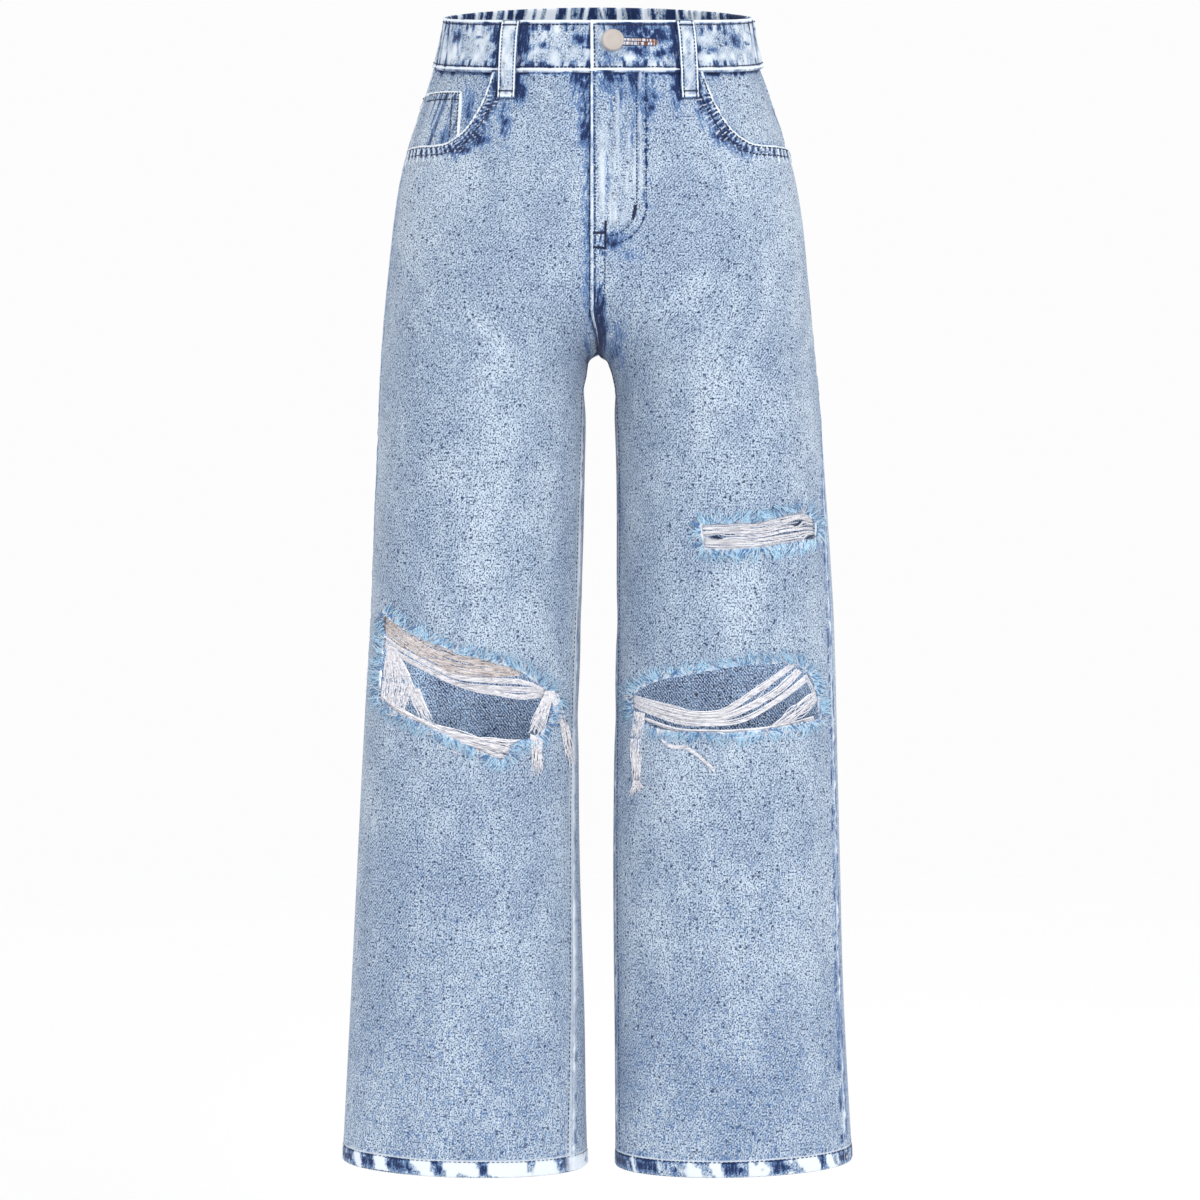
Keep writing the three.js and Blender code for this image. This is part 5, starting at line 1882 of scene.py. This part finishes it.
left_knee += thread_band(LEFT, LEFT_ROPES[0][0], LEFT_ROPES[2][1], 3, 29, 0.34, 0.25, 0.9, 0.6)
add_threads("threads_knee_left", left_knee, WHITE_THREAD, ["threads_knee_left"])
LOOSE_UPPER = [(100, -557), (142, -551.5), (172, -546.5)]
LOOSE_LOWER = [(102, -559), (143, -554), (172, -549)]
left_loose = thread_band(LEFT, LOOSE_UPPER, LOOSE_LOWER, 5, 31, 0.42, 0.4, 0.3, 0.4)

RIGHT_UPPER = [(-165, -463), (-146, -473.5), (-126, -483), (-104, -491.5), (-81, -498), (-58, -505)]
RIGHT_UPPER_LOW = [(-165, -477), (-157, -485), (-134, -500), (-110, -508), (-87, -511.5), (-58, -511)]
upper_sheet = thread_band(RIGHT, RIGHT_UPPER, RIGHT_UPPER_LOW, 30, 41, 0.44, 0.08, 0.5, 0.14)
upper_sheet += thread_band(RIGHT, RIGHT_UPPER, RIGHT_UPPER_LOW, 8, 42, 0.34, 0.2, 0.5, 0.4)
add_threads("threads_knee_right_upper", upper_sheet, BEIGE_THREAD, ["threads_knee_right_upper"])

# Ropes of threads over the right knee, as above.
RIGHT_ROPES = [
    ([(-166, -480), (-150, -489.5), (-126, -502), (-105, -511), (-78, -513.5), (-56, -515), (-38, -522)],
     [(-166, -484), (-150, -493), (-126, -505), (-105, -514), (-78, -516.5), (-56, -518), (-38, -524)],
     12, 0.5),
    ([(-166, -486), (-150, -495), (-126, -507), (-105, -516), (-78, -519), (-40, -521.5)],
     [(-166, -489), (-150, -498.5), (-126, -510), (-105, -519), (-78, -522.5), (-40, -525)], 12, 0.5),
    ([(-140, -502), (-104, -517), (-74, -523), (-57, -525), (-38, -524.5)],
     [(-140, -503.5), (-104, -520), (-74, -526), (-57, -529), (-38, -527.5)], 9, 0.46),
]
middle = []
for number, (upper, lower, count, radius) in enumerate(RIGHT_ROPES):
    middle += thread_band(RIGHT, upper, lower, count - 2, 43 + number, radius, 0.18, 0.8, 0.3)
add_threads("threads_knee_right_middle", middle, WHITE_THREAD, ["threads_knee_right_middle"])

LOW_UPPER = [
    (-168, -525), (-150, -536), (-126, -546.5), (-104, -553), (-81, -558.5), (-66, -561), (-58, -561),
]
LOW_LOWER = [
    (-168, -538), (-150, -552), (-126, -562), (-104, -571), (-81, -579.5), (-70, -584), (-60, -588),
]
# Hanging threads: roots, tips, number of threads, seed, radius, curl, how far out.
LOW_HANGING = [
    ([(-161, -488), (-154, -491)], [(-165, -524), (-136, -524)], 44, 48, 0.66, 1.4, -0.8),
    ([(-165, -516), (-140, -518)], [(-168, -541), (-146, -541)], 32, 49, 0.62, 1.4, -0.8),
    ([(-146, -519), (-135, -521)], [(-134, -546), (-124, -549)], 20, 50, 0.56, 1.2, -0.8),
]
RIGHT_FRINGE = [
    ([(-40, -523), (-34, -523)], [(-55, -558), (-44, -562)], 30, 51, 0.56, 1.2, 0.8),
    ([(-52, -555), (-43, -560)], [(-50, -589), (-42, -588)], 20, 52, 0.52, 1.4, 1.3),
    ([(-37, -523), (-32, -525)], [(-30, -551), (-23, -552)], 24, 53, 0.56, 1.0, 1.0),
    ([(-30, -547), (-24, -549)], [(-23, -583), (-18, -582)], 18, 54, 0.5, 1.4, 1.3),
]
LEFT_FRINGE = [
    ([(28, -539), (36, -540)], [(26, -563), (34, -563)], 22, 55, 0.55, 1.0, 1.1),
    ([(26.5, -560), (34, -560)], [(26, -598), (33, -596)], 22, 56, 0.55, 1.2, 1.1),
    ([(28, -592), (32, -592)], [(23, -606), (37, -599)], 26, 58, 0.42, 1.4, 1.1),
]
lower = thread_band(RIGHT, LOW_UPPER, LOW_LOWER, 50, 47, 0.52, 0.12, 0.8, 0.3)
lower += hung_from(RIGHT, LOW_HANGING)
add_threads("threads_knee_right_lower", lower, WHITE_THREAD, ["threads_knee_right_lower"])

add_threads("fringe_knee_right", hung_from(RIGHT, RIGHT_FRINGE), WHITE_THREAD, ["fringe_knee_right"])
add_threads("fringe_knee_left", hung_from(LEFT, LEFT_FRINGE), WHITE_THREAD, ["fringe_knee_left"])

left_tail = [(47, -556.5), (54.7, -563.5), (67.8, -565), (80.8, -574.5), (88, -582)]
below_tail = [(x, z - 1.9) for x, z in left_tail]
left_loose_tail = thread_band(LEFT, left_tail, below_tail, 8, 57, 0.5, 0.4, 0.3, 0.6)
add_threads("fringe_knee_left_loose", raised(left_loose_tail, 2.2), WHITE_THREAD, ["fringe_knee_left_loose"])
add_threads("thread_knee_left_low", raised(left_loose, 2.0), WHITE_THREAD)

# Fibres round the rips: side, rip, number of fibres, seed, shortest and longest, radius.
FIBRES = {
    "fibres_blue": (BLUE_THREAD, [
        (LEFT, THIGH_HOLE, 400, 61, (4, 12), 0.4),
        (LEFT, LEFT_KNEE_HOLE, 600, 62, (4, 12), 0.4),
        (RIGHT, RIGHT_KNEE_HOLE, 700, 63, (4, 12), 0.4),
    ]),
    "fibres_deep_blue": (DEEP_THREAD, [
        (LEFT, THIGH_HOLE, 170, 67, (3, 9), 0.4),
        (LEFT, LEFT_KNEE_HOLE, 260, 68, (3, 9), 0.4),
        (RIGHT, RIGHT_KNEE_HOLE, 300, 69, (3, 9), 0.4),
    ]),
    "fibres_white": (WHITE_THREAD, [
        (LEFT, THIGH_HOLE, 90, 64, (3, 8), 0.28),
        (LEFT, LEFT_KNEE_HOLE, 170, 65, (4, 9), 0.28),
        (RIGHT, RIGHT_KNEE_HOLE, 200, 66, (4, 9), 0.28),
    ]),
}
for name, (material, rips) in FIBRES.items():
    add_threads(name, [fibre for rip in rips for fibre in edge_fibres(*rip)], material, sides=3)


# ---- camera, light and stage ---------------------------------------------------------------
WORLD_LIGHT = 0.98
JEANS_MIDDLE = (0, 0, -0.45)


def make_stage():
    """A pale floor far below the jeans, and even white light from all round."""
    mesh = bpy.data.meshes.new("floor")
    reach, floor_z = 6.0, -1.25
    corners = [(x * reach, y * reach, floor_z) for x, y in ((-1, -1), (1, -1), (1, 1), (-1, 1))]
    mesh.from_pydata(corners, [], [(0, 1, 2, 3)])
    n = Nodes("pale_floor", roughness=0.9)
    where = n.add("ShaderNodeTexCoord", output="Object")
    mesh.materials.append(n.finish(n.blend(n.noise(where, 3), rgb(255, 255, 255), rgb(254, 254, 255))))
    floor = bpy.data.objects.new("floor", mesh)
    bpy.context.scene.collection.objects.link(floor)

    world = bpy.data.worlds.new("studio")
    world.use_nodes = True
    world.node_tree.nodes["Background"].inputs["Color"].default_value = (1, 1, 1, 1)
    world.node_tree.nodes["Background"].inputs["Strength"].default_value = WORLD_LIGHT
    bpy.context.scene.world = world


def add_light(name, place, aim, size, power):
    """A round lamp, with its size in metres and its power in watts."""
    data = bpy.data.lights.new(name, "AREA")
    data.shape, data.size, data.energy = "DISK", size, power
    lamp = bpy.data.objects.new(name, data)
    lamp.location = place
    lamp.rotation_euler = (Vector(aim) - Vector(place)).to_track_quat("-Z", "Y").to_euler()
    bpy.context.scene.collection.objects.link(lamp)


def make_camera():
    """Level with the middle of the jeans, 2.2 m in front of the waist."""
    data = bpy.data.cameras.new("camera")
    data.sensor_width = 36
    distance, view_width, across, height = 2.2, 0.936, 0.00156, -0.454
    data.lens = data.sensor_width * distance / view_width
    data.clip_end = 50
    camera = bpy.data.objects.new("camera", data)
    camera.location = (across, -distance, height)
    camera.rotation_euler = (math.pi / 2, 0, 0)
    bpy.context.scene.collection.objects.link(camera)
    bpy.context.scene.camera = camera


make_stage()
add_light("key", (0.9, -2.0, 0.7), JEANS_MIDDLE, 1.0, 22)
add_light("fill", (-1.2, -1.6, -0.2), JEANS_MIDDLE, 1.5, 3)
for side in (LEFT, RIGHT):
    add_light(f"inside_{SIDE_NAMES[side]}", (0.1 * side, -0.05, -0.44), (0.1 * side, 0.07, -0.52), 0.08, 0.22)
make_camera()
bpy.context.scene.view_settings.view_transform = "Standard"
